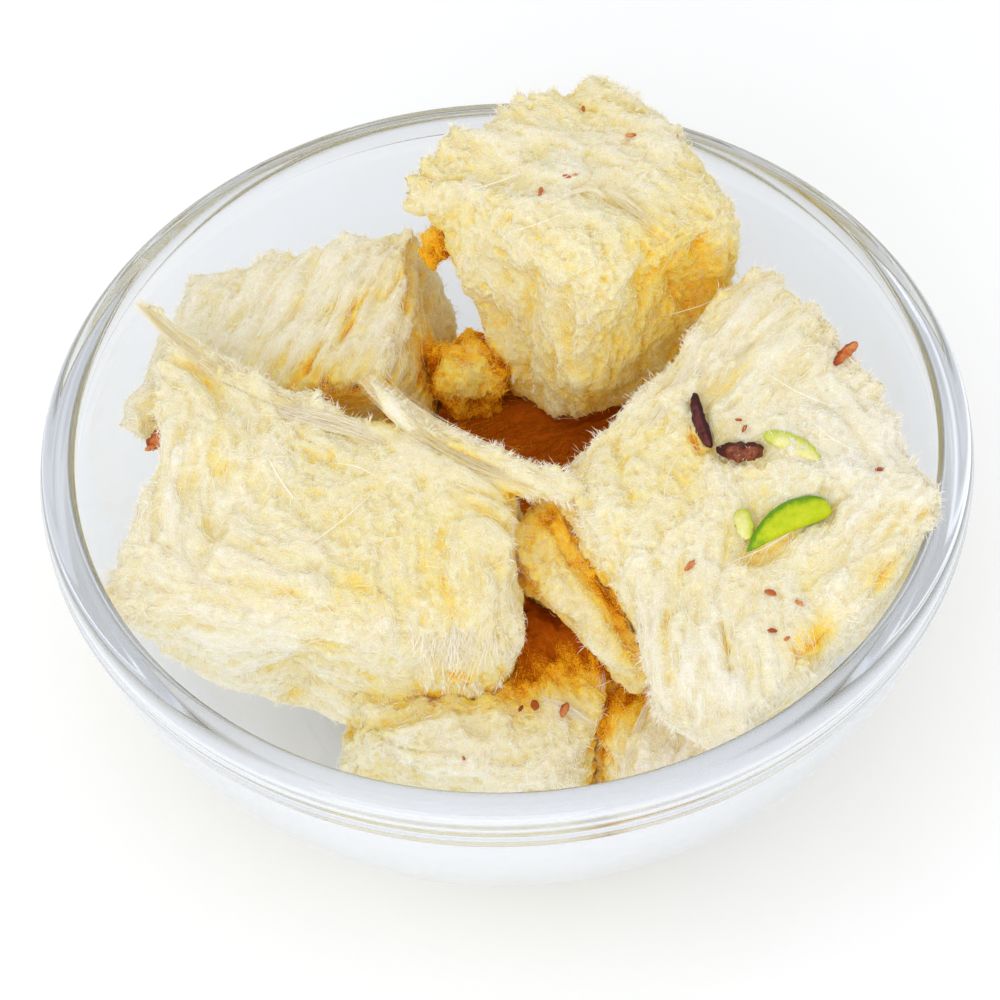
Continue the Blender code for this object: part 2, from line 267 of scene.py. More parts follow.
def clearOfGlass(points, gap):            # points in mm, moved so that they keep the gap to the glass
    radius = np.hypot(points[:, 0], points[:, 1])
    flat = np.stack([radius, points[:, 2]], 1)
    best = np.full(len(flat), 1e9)
    place = np.zeros_like(flat)
    inside = np.zeros(len(flat), bool)
    for start, end in zip(bowlSection, bowlSection[1:]):
        along = end - start
        share = np.clip(((flat - start) @ along) / (along @ along + 1e-12), 0, 1)
        near = start + share[:, None] * along
        away = np.linalg.norm(flat - near, axis=1)
        closer = away < best
        best[closer] = away[closer]
        place[closer] = near[closer]
        crosses = (start[1] > flat[:, 1]) != (end[1] > flat[:, 1])
        if abs(end[1] - start[1]) > 1e-9:
            at = (end[0] - start[0]) * (flat[:, 1] - start[1]) / (end[1] - start[1]) + start[0]
            inside ^= crosses & (flat[:, 0] < at)
    signed = np.where(inside, -best, best)
    move = signed < gap
    away = unit(flat - place) * np.where(inside, -1.0, 1.0)[:, None]
    fixed = np.where(move[:, None], place + away * gap, flat)
    scale = fixed[:, 0] / np.maximum(radius, 1e-6)
    result = points.copy()
    result[:, 0] *= scale
    result[:, 1] *= scale
    result[:, 2] = fixed[:, 1]
    return result


def turnedMesh(name, section, turns):     # a closed turned body, section in mm
    rings = section[1:-1]
    angles = np.linspace(0, 2 * math.pi, turns, endpoint=False)
    verts = np.array([(r * math.cos(a), r * math.sin(a), z) for r, z in rings for a in angles])
    verts = np.vstack([verts, [(0, 0, section[0][1]), (0, 0, section[-1][1])]]) * mm
    faces = []
    for ring in range(len(rings) - 1):
        for turn in range(turns):
            a, b = ring * turns + turn, ring * turns + (turn + 1) % turns
            faces += [(a, b, b + turns), (a, b + turns, a + turns)]
    floorMiddle, footMiddle = len(verts) - 2, len(verts) - 1
    last = (len(rings) - 1) * turns
    for turn in range(turns):
        faces.append((floorMiddle, (turn + 1) % turns, turn))
        faces.append((footMiddle, last + turn, last + (turn + 1) % turns))
    return facedOutward(meshFrom(name, verts, np.array(faces)))


def glassMaterial(look):
    material, tree, shader = newMaterial("clearGlass", {
        "Roughness": look["roughness"], "IOR": look["ior"], "Transmission Weight": 1.0})
    clear = tree.nodes.new("ShaderNodeBsdfTransparent")
    clear.inputs["Color"].default_value = (*look["shadow"], 1)
    path = tree.nodes.new("ShaderNodeLightPath").outputs
    inner = mathNode(tree, "GREATER_THAN", path["Ray Depth"], look["innerBend"])
    tone = tree.nodes.new("ShaderNodeMix")    # light that has gone round inside the glass loses little more
    tone.data_type = "RGBA"
    tree.links.new(inner, tone.inputs["Factor"])
    tone.inputs[6].default_value = (*look["tint"], 1)
    tone.inputs[7].default_value = (*look["innerTint"], 1)
    tree.links.new(tone.outputs[2], shader.inputs["Base Color"])
    either = mathNode(tree, "MAXIMUM", path["Is Shadow Ray"], path["Is Diffuse Ray"])
    deep = mathNode(tree, "GREATER_THAN", path["Ray Depth"], look["lastBend"])
    mix = tree.nodes.new("ShaderNodeMixShader")   # straight through for shadows and after the last bend
    tree.links.new(mathNode(tree, "MAXIMUM", either, deep), mix.inputs["Fac"])
    tree.links.new(shader.outputs["BSDF"], mix.inputs[1])
    tree.links.new(clear.outputs["BSDF"], mix.inputs[2])
    tree.links.new(mix.outputs["Shader"], tree.nodes["Material Output"].inputs["Surface"])
    return material


bowlMesh = turnedMesh("glassBowl", bowlSection, bowlLook["turns"])
glassBowl = link(bpy.data.objects.new("glassBowl", bowlMesh))
glassBowl.data.materials.append(glassMaterial(bowlLook))
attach(glassBowl, "root")
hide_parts("bowl")
print("bowl turned:", len(glassBowl.data.polygons), "faces")


# what each torn piece looks like, with places in mm in the bowl's frame
# combs: (middle, reach, direction, how strongly the threads are combed)
# slots: (line, width, depth); ridges: (line, width, height); gold and shade spots: (middle, reach, amount)
# pushes: (middle, reach, move); sunk: (line, width, depth)
# thinned: (line, reach, shares kept across, shares kept upright)

# gold amounts: a golden tone that is mostly painted shade, deeper in the gaps between pieces, under overhangs, on
# shaded sides and on the buried bottom piece; negative amounts paint lit tops lighter
tuftLine = ((-17, 7, 54.5), (-12.5, 1.5, 53), (-7, -2.5, 52), (-1, -6, 51.5), (5, -8.5, 51), (9.5, -9.5, 50.5))
ribbonLine = ((-47, 20.5, 54), (-42, 15, 54), (-34, 9, 53.5), (-27, 5.5, 53))
pieceLooks = {
    "piece_top_back": {
        "seed": 11, "relief": 1.1, "gold_and_painted_shade": 0.22, "ragged": 1.7,
        "pushes": [
            ((-4, 38.5, 65.5), 6, (-1.0, 1.4, 0)), ((4, 44, 65.5), 6, (-0.8, 1.1, 0)),
            ((14, 50, 66), 4, (0, -1.2, -0.3)), ((27, 36, 65), 6, (-0.9, -0.7, 0)),
            ((32, 28, 64), 5, (-0.8, -0.4, 0)), ((34, 21, 54), 6, (1.2, 0, 0)),
            ((13, 14, 42), 6, (0, -0.8, -0.5))],
        "combs": [
            ((12, 30, 66), 12, (0.8, -0.5, 0), 0.15), ((20, 24, 65), 6, (0.75, -0.65, 0), 0.7),
            ((6, 20, 52), 11, (0.1, -0.1, -1), 0.25), ((24, 22, 50), 11, (0.1, 0.1, -1), 0.35)],
        "slots": [(((19, 21, 63.5), (26, 23, 60.5)), 2.2, 0.8)],
        "gold_and_shade_spots": [
            ((22.5, 20, 60.5), 4.5, 0.35), ((26, 20, 52), 12, 0.20), ((6, 18, 48), 10, 0.06),
            ((12, 13.5, 43), 5, 0.25), ((-7, 33, 53), 5.0, 1.1), ((10, 33, 66), 11, -0.22),
            ((22, 40, 66), 8, -0.1)],
    },
    "piece_right": {
        "seed": 23, "relief": 1.0, "gold_and_painted_shade": 0.05, "ragged": 1.9,
        "pushes": [
            ((40, 10, 57), 6, (1.6, 1.0, 0)), ((45.5, 1, 57), 6, (1.7, 0.9, 0)),
            ((49.5, -8, 56.5), 6, (1.4, 0.6, 0)), ((47, -27, 54), 6, (-0.8, 1.2, 0)),
            ((30, 20, 57.5), 4, (-0.8, 0.2, 0))],
        "sunk": [
            (((30.5, -21.2, 52.3), (38.5, -16.6, 54.2)), 2.8, 1.6),
            (((24.6, 1.0, 55.2), (25.6, -5.6, 53.9)), 1.6, 1.2),
            (((27.6, -6.7, 53.9), (32, -8.5, 54.5)), 1.6, 1.1), (((33.0, -6, 54.9), (39, -10.4, 55)), 1.7, 1.0),
            (((29.5, -16.8, 53), (29.6, -19.8, 52.4)), 1.3, 0.8)],
        "combs": [
            ((15, -9, 51), 8, (0, -1, 0), 0.02), ((24, -10, 53), 6, (0.2, -1, 0), 0.05),
            ((27, -25, 51), 5, (0.02, -1, -0.1), 0.6), ((18, -31, 48), 8, (-0.16, -1, -0.1), 0.9),
            ((26, -33, 49), 8, (0.05, -1, -0.1), 1.0), ((33, -34, 50), 6, (0.22, -1, -0.1), 0.8),
            ((31, 10, 57), 9, (0.66, 0.75, 0.08), 0.95), ((46, -3, 56), 7, (0.42, -0.9, 0.1), 0.45),
            ((44, -27, 53), 7, (0.72, 0.68, 0.12), 0.6)],
        "slots": [
            (((25.3, -31, 50), (25.9, -37.5, 49.6)), 0.35, 1.3),
            (((18.6, -28, 49), (18.4, -37, 47.5)), 0.35, 0.8),
            (((29.4, -35, 50), (29.8, -41, 48.5)), 0.35, 0.8), (((22, -24, 50.5), (20.6, -33, 49)), 0.35, 0.6),
            (((32.6, -27, 51.5), (34.2, -33, 50.8)), 0.35, 0.6),
            (((34.6, -36.2, 50.4), (38.2, -33.2, 51.2)), 1.5, 0.9),
            (((43.6, -29.6, 52.8), (46.8, -26, 54)), 1.2, 0.7),
            (((27, -20, 51.6), (24.5, -28, 50.4)), 0.3, 0.4),
            (((12, -14.5, 50.6), (13.2, -16.5, 50.2)), 0.8, 0.5), (((22, 3.5, 54.6), (28, 5.2, 56)), 0.5, 0.5),
            (((16.6, -24, 49), (16.9, -31, 48)), 0.3, 0.5)],
        "ridges": [(((20, 2, 54), (30, 6, 56.5), (40, 8, 57.5)), 1.2, 0.5)],
        "gold_and_shade_spots": [
            ((36.4, -34.8, 50.5), 2.2, 0.8), ((45.4, -27.6, 53), 2.2, 0.6), ((25.6, -34.5, 49), 0.8, 0.5),
            ((46, -10, 56), 11, -0.32), ((19, -9, 52), 8, 0.20), ((34, 10, 57), 7, -0.06),
            ((25, -37, 49), 8, -0.22), ((28, -28, 51), 3, 0.1), ((18, -2, 53), 5, 0.06)],
    },
    "piece_left_front": {
        "seed": 37, "relief": 1.0, "gold_and_painted_shade": 0.08, "ragged": 2.0,
        "pushes": [
            ((-40, -22, 33), 6, (-0.2, -1.1, -1.0)), ((-32, -22, 29), 6, (0, -1.2, -1.2)),
            ((-25, -24, 27), 5, (0, -1.0, -1.0)), ((-50, -15, 50), 4, (1.4, 0.2, 0)),
            ((-47, 20.5, 54), 5, (0.5, 1.6, 1.1))],
        "thinned": [
            (tuftLine, 2.1, (0.22, 0.55, 0.9, 1.15, 1.2, 1.2), (0.3, 0.45, 0.5, 0.5, 0.5, 0.5)),
            (ribbonLine, 1.3, (0.6, 1.2, 1.4, 1.2), (0.5, 0.6, 0.7, 0.8))],
        "combs": [
            ((-44, -4, 51), 8, (-0.1, -1, -0.15), 0.95), ((-37, 8, 53), 6, (0.38, -0.9, 0), 0.75),
            ((-20, -2, 52), 9, (0.5, -0.5, 0), 0.08), ((-10, -12, 50), 7, (0.1, -1, -0.1), 0.25),
            ((-8, -20, 47), 8, (0.08, -1, -0.25), 0.7), ((-36, -20, 47), 8, (0.9, -0.42, -0.1), 0.7),
            ((-28, -24, 36), 9, (0.9, -0.35, -0.25), 0.6), ((-5, -26, 40), 7, (0.02, -0.25, -1), 1.0),
            ((0, -7.5, 51.5), 6, (0.86, -0.45, -0.12), 2.4), ((-12, 2, 53), 5, (0.7, -0.7, -0.15), 2.0),
            ((-40, 13, 54), 6, (0.72, -0.68, 0), 1.3)],
        "slots": [
            (((-7.8, -25.4, 41), (-8.2, -27.2, 33)), 0.4, 1.2), (((-4.4, -26, 41), (-4.6, -28, 33)), 0.4, 1.3),
            (((-1.6, -25.4, 40), (-2, -27, 33)), 0.35, 1.1), (((0.6, -24, 39), (0.8, -25, 34)), 0.35, 0.9),
            (((-22, -22.8, 48.6), (-25.0, -23.9, 41)), 1.7, 0.9),
            (((-20, -21, 49.3), (-17, -22.4, 48.6)), 1.2, 0.7),
            (((-28.4, -22, 49), (-27, -22.6, 48)), 1.2, 0.6),
            (((-13, 2.6, 54), (-7, -1.8, 53), (0, -5.4, 52.2)), 0.3, 0.6),
            (((-9, -2.2, 52.8), (-3, -5.8, 52), (5, -8.6, 51.4)), 0.3, 0.6)],
        "ridges": [
            (((-41.5, 9, 54), (-36.6, 3, 53.2), (-34.6, -5, 51.4), (-35.2, -13, 50), (-37.6, -18, 49)), 1.1, 0.9),
            (((-44, 6, 53), (-41, -4, 51), (-39, -14, 49.5)), 1.0, 0.5),
            (((-20, -24, 47), (-24, -25, 38), (-27.5, -21.5, 26)), 1.5, 0.7)],
        "gold_and_shade_spots": [
            ((-6, -27.5, 38), 5, 0.30), ((-23, -23.5, 40), 2.6, 0.25), ((-34, -22, 38), 13, -0.16),
            ((-8, -20, 48), 8, 0.26), ((-20, -10, 51), 9, 0.16), ((-2, -10, 49), 6, 0.12),
            ((-36, 0, 52.5), 5, 0.08), ((-20, -21, 49), 2, 0.25), ((-44, -8, 50), 8, -0.12)],
    },
    "piece_left_back": {
        "seed": 41, "relief": 1.0, "gold_and_painted_shade": 0.04, "ragged": 1.6,
        "pushes": [
            ((-35, 36, 47), 7, (0, -1.5, -0.4)), ((-26, 37, 49), 6, (0, -1.3, -0.4)),
            ((-17, 38, 49.5), 6, (0, -1.1, -0.4)), ((-8, 33, 44), 6, (-2.2, -0.6, 0)),
            ((-47.5, 10, 44), 6, (-2.4, -2.6, -0.6)), ((-47, 20, 45), 6, (-0.8, 0, 0))],
        "combs": [
            ((-20, 27, 49), 13, (-0.46, -0.89, -0.07), 1.5), ((-34, 27, 46), 8, (-0.4, -0.9, 0), 0.5),
            ((-9.5, 27, 40), 9, (0.1, 0.1, -1), 0.8), ((-47, 16, 44), 5, (0.3, -0.6, -0.3), 0.1)],
        "slots": [
            (((-19, 27, 49), (-24, 16, 47.8)), 0.3, 0.9), (((-23, 26, 48.5), (-28.5, 15, 47)), 0.3, 0.8),
            (((-12, 27, 47.5), (-15.5, 21, 46)), 0.3, 0.9), (((-26.5, 24, 48), (-31, 16, 47)), 0.3, 0.7),
            (((-16.6, 30, 49.2), (-22.4, 17.5, 48.5)), 0.35, 1.3),
            (((-14.6, 25, 47.5), (-17, 19.6, 46)), 0.35, 1.0), (((-21, 29, 49), (-26, 15.5, 47.5)), 0.35, 0.9),
            (((-24, 20, 48.8), (-27.2, 14, 47)), 0.5, 1.2), (((-13.6, 33, 49), (-14.6, 28, 48)), 0.3, 0.8),
            (((-17, 19, 47), (-19.5, 14, 46)), 0.6, 1.2)],
        "gold_and_shade_spots": [
            ((-8, 29, 43), 6.5, 0.26), ((-8.5, 22, 38), 7, 0.22), ((-24, 14.5, 47), 4, 0.3),
            ((-31, 18, 47), 4, 0.2), ((-18, 14, 45), 5, 0.5), ((-20, 20, 48), 7, -0.02),
            ((-36, 25, 46), 9, -0.1)],
    },
    "piece_middle": {
        "seed": 53, "relief": 1.2, "gold_and_painted_shade": 0.14,
        "combs": [((8, -16, 42), 9, (0.55, -0.8, -0.1), 0.4)],
        "ridges": [(((1, -12, 43), (7, -20, 40.5), (13, -27.5, 37)), 1.2, 0.5)],
        "gold_and_shade_spots": [((13, -18, 41), 4.5, 0.5), ((6, -10, 44), 3, 0.45), ((6, -20, 41), 4, -0.1)],
    },
    "chunk": {
        "seed": 67, "relief": 1.0, "gold_and_painted_shade": 0.82, "ragged": 0.9, "rounded": 30, "lumps": 1.5,
        "pushes": [
            ((-9, 20, 44), 3, (1.6, 0, -0.8)), ((1, 19, 43), 3, (-1.4, 0, -0.8)),
            ((-4, 15, 38), 3, (0, 1.4, 0.8)), ((-8, 17, 38), 3, (1.4, 0.8, 0))],
        "combs": [((-4, 21, 41), 8, (0.5, -0.6, -0.4), 0.2)],
        "gold_and_shade_spots": [((-4, 19.5, 44.5), 3.4, -0.46)],
    },
    "piece_bottom_front": {
        "seed": 71, "relief": 1.1, "gold_and_painted_shade": 0.06, "fuzz": 0.8, "ragged": 1.8,
        "pushes": [((-21, -31, 26), 6, (3.2, 1.2, 1.0))],
        "combs": [((4, -22, 32), 9, (0.25, -0.95, -0.1), 0.5), ((-8, -34, 28), 9, (1, 0.1, 0), 0.3)],
        "ridges": [(((10.5, -21, 31), (10, -27, 29.5), (7, -35, 26)), 1.1, 0.7)],
        "gold_and_shade_spots": [
            ((6, -19, 32), 8, 0.95), ((-2, -22, 32), 6, 0.6), ((2, -12, 31), 8, 0.7), ((-8, -33, 31), 7, -0.15)],
    },
    "piece_bottom_right": {
        "seed": 83, "relief": 0.8, "gold_and_painted_shade": -0.25, "fuzz": 0.7, "ragged": 1.4,
        "combs": [((14, -28, 28), 9, (-0.42, -0.9, 0), 1.0)],
        "ridges": [(((17, -27, 28.5), (14.5, -32, 27.5), (12.5, -38, 25)), 0.9, 0.6)],
        "gold_and_shade_spots": [((12, -28, 27), 5.0, 1.1), ((18, -22, 29), 6, 0.35), ((20, -32, 28), 6, -0.3)],
    },
    "piece_bottom_back": {
        "seed": 97, "relief": 0.9, "gold_and_painted_shade": 0.1, "fuzz": 0.25,
        "combs": [((4, 12, 35), 16, (0.95, 0.3, 0), 0.8)],
        "gold_and_shade_spots": [((-6, 8, 37), 11, 1.2), ((8, 4, 37), 12, 1.6), ((16, 10, 37), 8, 0.8), ((2, 18, 37), 8, 0.8)],
    },
}
voxelSize = 0.32  # mm
blockGap, strandGap = 0.15, 0.12          # mm kept to the glass


def combField(points, look):              # thread direction and how strongly the threads follow it, at points in mm
    total = noiseVectors(points / 8.0, look["seed"] * 5) * 0.22
    weight = np.full(len(points), 0.12)
    held = np.zeros(len(points))
    for middle, reach, direction, strength in look["combs"]:
        share = nearness(points, middle, reach)
        total = total + share[:, None] * strength * unit(np.array(direction, float))
        weight += share
        held += share * strength
    return unit(total), np.clip(held / weight, 0, 1)


def tangent(directions, normals):
    flat = directions - (directions * normals).sum(1, keepdims=True) * normals
    short = np.linalg.norm(flat, axis=1) < 0.05
    flat[short] = np.cross(normals[short], np.array([0.3, 0.5, 0.8]))
    return unit(flat)


def streakNoise(points, look, width, length, seed):   # noise drawn out along the threads of each comb
    warp = noiseVectors(points / 6.0, seed + 40) * 0.7
    total, weight = np.zeros(len(points)), np.full(len(points), 0.001)
    for index, (middle, reach, direction, strength) in enumerate(look["combs"]):
        share = nearness(points, middle, reach) * strength
        along = unit(np.array(direction, float))
        local = points - np.array(middle, float) + warp
        forward = (local @ along)[:, None] * along
        total += share * gradientNoise((local - forward) / width + forward / length, seed + index * 3)
        weight += share
    return total / weight


def tornRelief(points, normals, look, convex):   # how far the torn surface stands out, the painted shade of its hollows, its streaks
    seed = look["seed"]
    _, held = combField(points, look)
    wide = streakNoise(points, look, 1.7, 12.0, seed + 1)
    narrow = streakNoise(points, look, 0.95, 9.0, seed + 2)
    coarse = streakNoise(points, look, 2.3, 6.4, seed + 3)
    middling = streakNoise(points, look, 1.0, 2.4, seed + 4)
    fine = gradientNoise(points / 0.85, seed + 5)
    crag = gradientNoise(points / 7.0, seed) * 0.34
    crag = crag + gradientNoise(points / 3.2, seed + 15) * look.get("lumps", 0.0)
    torn = streakNoise(points, look, 3.4, 8.0, seed + 12)
    steps = smoothStep(-0.06, 0.04, torn) * 0.50 + smoothStep(0.24, 0.34, torn) * 0.35
    steps = (steps - smoothStep(0.30, 0.40, -torn) * 0.35) * (1 - 0.45 * held)
    bundles = (wide * 0.34 + narrow * 0.14) * held
    ragged = (coarse + middling * 0.45 + fine * 0.25) * (1 - 0.6 * held) + (wide * 0.5 + narrow * 0.3) * held
    flake = smoothStep(-0.06, 0.10, ragged + 0.1)
    felt = (middling * 0.12 + fine * 0.20) * (1 - 0.6 * held)
    pits = smoothStep(0.42, 0.75, gradientNoise(points / 1.1, seed + 8) + coarse * 0.3) * (1 - 0.8 * held)
    grooves = smoothStep(0.15, 0.75, -wide) * held
    side = 1 - np.abs(normals[:, 2])      # the sides show torn layers
    layer = np.floor(points[:, 2] / 2.1 + gradientNoise(points / 7.0, seed + 9) * 1.2)
    ledge = gradientNoise(np.stack([points[:, 0] / 6, points[:, 1] / 6, layer * 3.7], 1), seed + 10)
    height = crag + bundles + felt + steps - 0.3 + flake * 0.30 + ledge * 0.4 * side
    edge = smoothStep(0.22, 0.8, convex)  # edges are ragged: bitten off in places, standing out in others
    teeth = gradientNoise(points / 2.5, seed + 13) * 0.85 + gradientNoise(points / 1.15, seed + 14) * 0.5
    height = height + edge * (teeth - 0.05) * look.get("ragged", 1.0)
    # painted shade: the lower layers under the flakes, the felt's dips, pits, grooves, crags and slots get a deeper
    # colour
    hollowShade = (1 - flake) * 0.30 - steps * 0.35 + 0.2 + np.clip(-felt * 5.0, 0, 1) * 0.40
    hollowShade = hollowShade + pits * 0.3 + grooves * 0.6 + np.clip(-crag * 1.6, 0, 1) * 0.4
    cavity = pits * 0.3 + grooves * 0.22
    wobble = 1 + 0.4 * gradientNoise(points / 1.3, seed + 11)
    for line, width, depth in look.get("slots", []):
        slot = depth * lineFade(points, line, width * wobble)
        cavity = cavity + slot * 0.8
        hollowShade = hollowShade + slot * 1.2
    for line, width, rise in look.get("ridges", []):
        height = height + rise * lineFade(points, line, width * wobble)
    streak = (wide * 0.5 + narrow * 0.5) * held + (middling * 0.2 + fine * 0.2) * (1 - held)
    return height * look["relief"] - cavity, hollowShade, streak


# evens out the facets in double rounds; back near -0.58 keeps the volume, 0.62 shrinks it
def smoothed(verts, faces, rounds, back):
    edges, count = meshEdges(faces, len(verts))
    for turn in range(rounds * 2):
        total = np.stack([neighbourSum(verts[:, axis], edges) for axis in range(3)], 1)
        verts = verts + (total / count[:, None] - verts) * (0.62 if turn % 2 == 0 else back)
    return verts


def fineSolid(name):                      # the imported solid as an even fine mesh, in mm
    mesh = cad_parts[name].data.copy()
    work = bmesh.new()
    work.from_mesh(mesh)
    bmesh.ops.remove_doubles(work, verts=work.verts[:], dist=0.00001)
    work.to_mesh(mesh)
    work.free()
    guide = link(bpy.data.objects.new("guide", mesh))
    remesh = guide.modifiers.new("voxels", "REMESH")
    remesh.mode = "VOXEL"
    remesh.voxel_size = voxelSize * mm
    depsgraph = bpy.context.evaluated_depsgraph_get()
    fine = bpy.data.meshes.new_from_object(guide.evaluated_get(depsgraph))
    verts, faces = meshArrays(fine)
    bpy.data.objects.remove(guide)
    return smoothed(verts / mm, faces, 14, -0.58), faces


def alongLine(line, shares):              # places along a smoothed polyline, shares from 0 to 1
    line = np.array(line, float)
    inside = np.linspace(0, 1, 20, endpoint=False)[:, None]
    dense = np.concatenate([a + (b - a) * inside for a, b in zip(line, line[1:])] + [line[-1:]])
    for _ in range(60):
        dense[1:-1] += (dense[:-2] + dense[2:] - 2 * dense[1:-1]) * 0.25
    reach = np.concatenate([[0], np.cumsum(np.linalg.norm(np.diff(dense, axis=0), axis=1))])
    wanted = np.clip(shares, 0, 1) * reach[-1]
    return np.stack([np.interp(wanted, reach, dense[:, axis]) for axis in range(3)], -1)


# a loose bundle drawn into a flat band, with the shares of its width and height kept from start to end
def thinned(verts, line, reach, across, upright):
    axis = alongLine(line, np.linspace(0, 1, 60))
    away = np.stack([((verts - place) ** 2).sum(1) for place in axis], 1)
    nearest = away.argmin(1)
    along = unit(np.gradient(axis, axis=0))[nearest]
    tilt = np.array([0, -0.55, 0.83])
    up = unit(tilt - (along @ tilt)[:, None] * along)
    side = np.cross(along, up)
    share = nearest / 59
    weight = 1 - smoothStep(reach, reach * 1.4, np.sqrt(away.min(1)))
    for way, kept in ((side, across), (up, upright)):
        change = (np.interp(share, np.linspace(0, 1, len(kept)), kept) - 1) * weight
        verts = verts + way * (((verts - axis[nearest]) * way).sum(1) * change)[:, None]
    return verts


bases = {}
for name, look in pieceLooks.items():
    verts, faces = fineSolid(name)
    for line, reach, across, upright in look.get("thinned", []):
        verts = thinned(verts, line, reach, across, upright)
    for middle, reach, move in look.get("pushes", []):
        verts = verts + nearness(verts, middle, reach)[:, None] * np.array(move, float)
    if "rounded" in look:
        verts = smoothed(verts, faces, look["rounded"], 0.62)
        verts = verts + vertexNormals(verts, faces) * 0.9
    for line, width, depth in look.get("sunk", []):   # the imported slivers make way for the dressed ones
        verts[:, 2] -= depth * lineFade(verts, line, width, 4)
    normals = vertexNormals(verts, faces)
    convex = ((verts - smoothed(verts, faces, 36, 0.62)) * normals).sum(1)
    rise, hollowShade, streak = tornRelief(verts, normals, look, convex)
    moved = clearOfGlass(verts + normals * rise[:, None], blockGap)
    # cavity: the painted shade of the hollows
    bases[name] = {"verts": moved, "faces": faces, "cavity": hollowShade, "convex": convex, "streak": streak}
    print("torn surface:", name, len(faces), "triangles")


# how open to the light each place is

def hemisphere(count):                    # evenly spread directions round +Z
    goldenAngle = 2.399963
    directions = []
    for index in range(count):
        up = math.sqrt((index + 0.5) / count)
        turn = index * goldenAngle
        flat = math.sqrt(1 - up * up)
        directions.append((flat * math.cos(turn), flat * math.sin(turn), up))
    return np.array(directions)


allVerts = np.vstack([base["verts"] for base in bases.values()])
rayReach, cellSize, margin = 14.0, 0.8, 2  # mm
gridLow = allVerts.min(0) - rayReach - margin
gridShape = tuple(((allVerts.max(0) + rayReach + margin - gridLow) / cellSize).astype(int) + 1)
filled = np.zeros(gridShape, bool)        # cells that hold some of the pile's surface
filled[tuple(((allVerts - gridLow) / cellSize).astype(int).T)] = True
rays = hemisphere(22)


def openness(verts, normals):
    result = np.zeros(len(verts))
    across = unit(np.cross(normals, np.array([0.31, 0.52, 0.79])))
    other = np.cross(normals, across)
    starts = verts + normals * 1.0 - gridLow
    for ray in rays:
        directions = across * ray[0] + other * ray[1] + normals * ray[2]
        length = np.full(len(verts), rayReach)
        free = np.ones(len(verts), bool)
        for step in np.arange(0.8, rayReach, cellSize):
            cell = ((starts + directions * step) / cellSize).astype(int)
            hit = filled[cell[:, 0], cell[:, 1], cell[:, 2]] & free
            length[hit] = step
            free &= ~hit
        result += length / rayReach
    return result / len(rays)


def evened(values, faces, rounds):        # a value on the mesh, without its small spots
    edges, count = meshEdges(faces, len(values))
    for _ in range(rounds):
        values = (values + neighbourSum(values, edges) / count) / 2
    return values


for name, base in bases.items():
    base["normals"] = vertexNormals(base["verts"], base["faces"])
    base["open"] = evened(openness(base["verts"], base["normals"]), base["faces"], 16)
    look = pieceLooks[name]
    # painted shade: each piece's gold amount and its spots deepen the colour where shade falls and lighten lit tops
    gold_and_painted_shade = np.full(len(base["verts"]), look["gold_and_painted_shade"])
    for middle, reach, amount in look["gold_and_shade_spots"]:
        gold_and_painted_shade = gold_and_painted_shade + amount * nearness(base["verts"], middle, reach)
    base["gold_and_painted_shade"] = np.clip(gold_and_painted_shade, -1, 1.7)
print("openness worked out for", len(allVerts), "places")


# materials of the sweet

# the ramp from the lit sweet into painted shade: golden, deep and deepest colour the places in shade
sweetColours = {
    "open": (0.925, 0.884, 0.780), "pale": (0.860, 0.785, 0.540), "yellow": (0.855, 0.725, 0.310),
    "golden": (0.930, 0.670, 0.085), "deep": (0.930, 0.450, 0.008), "deepest": (0.480, 0.105, 0.001),
}


def group(name, inputs, outputs):
    tree = bpy.data.node_groups.new(name, "ShaderNodeTree")
    for label, kind, value in inputs:
        socket = tree.interface.new_socket(label, in_out="INPUT", socket_type=kind)
        socket.default_value = value
    for label, kind in outputs:
        tree.interface.new_socket(label, in_out="OUTPUT", socket_type=kind)
    return tree, tree.nodes.new("NodeGroupInput"), tree.nodes.new("NodeGroupOutput")


# how much each thing deepens the colour; openness, cavity and gold bring painted shade
toneLook = {"openest": 0.96, "shade": 0.66, "cavity": 0.15, "gold_and_painted_shade": 0.50, "mottle": 2.0, "fine": 0.22,
            "grain": 0.62, "thread": 0.30}


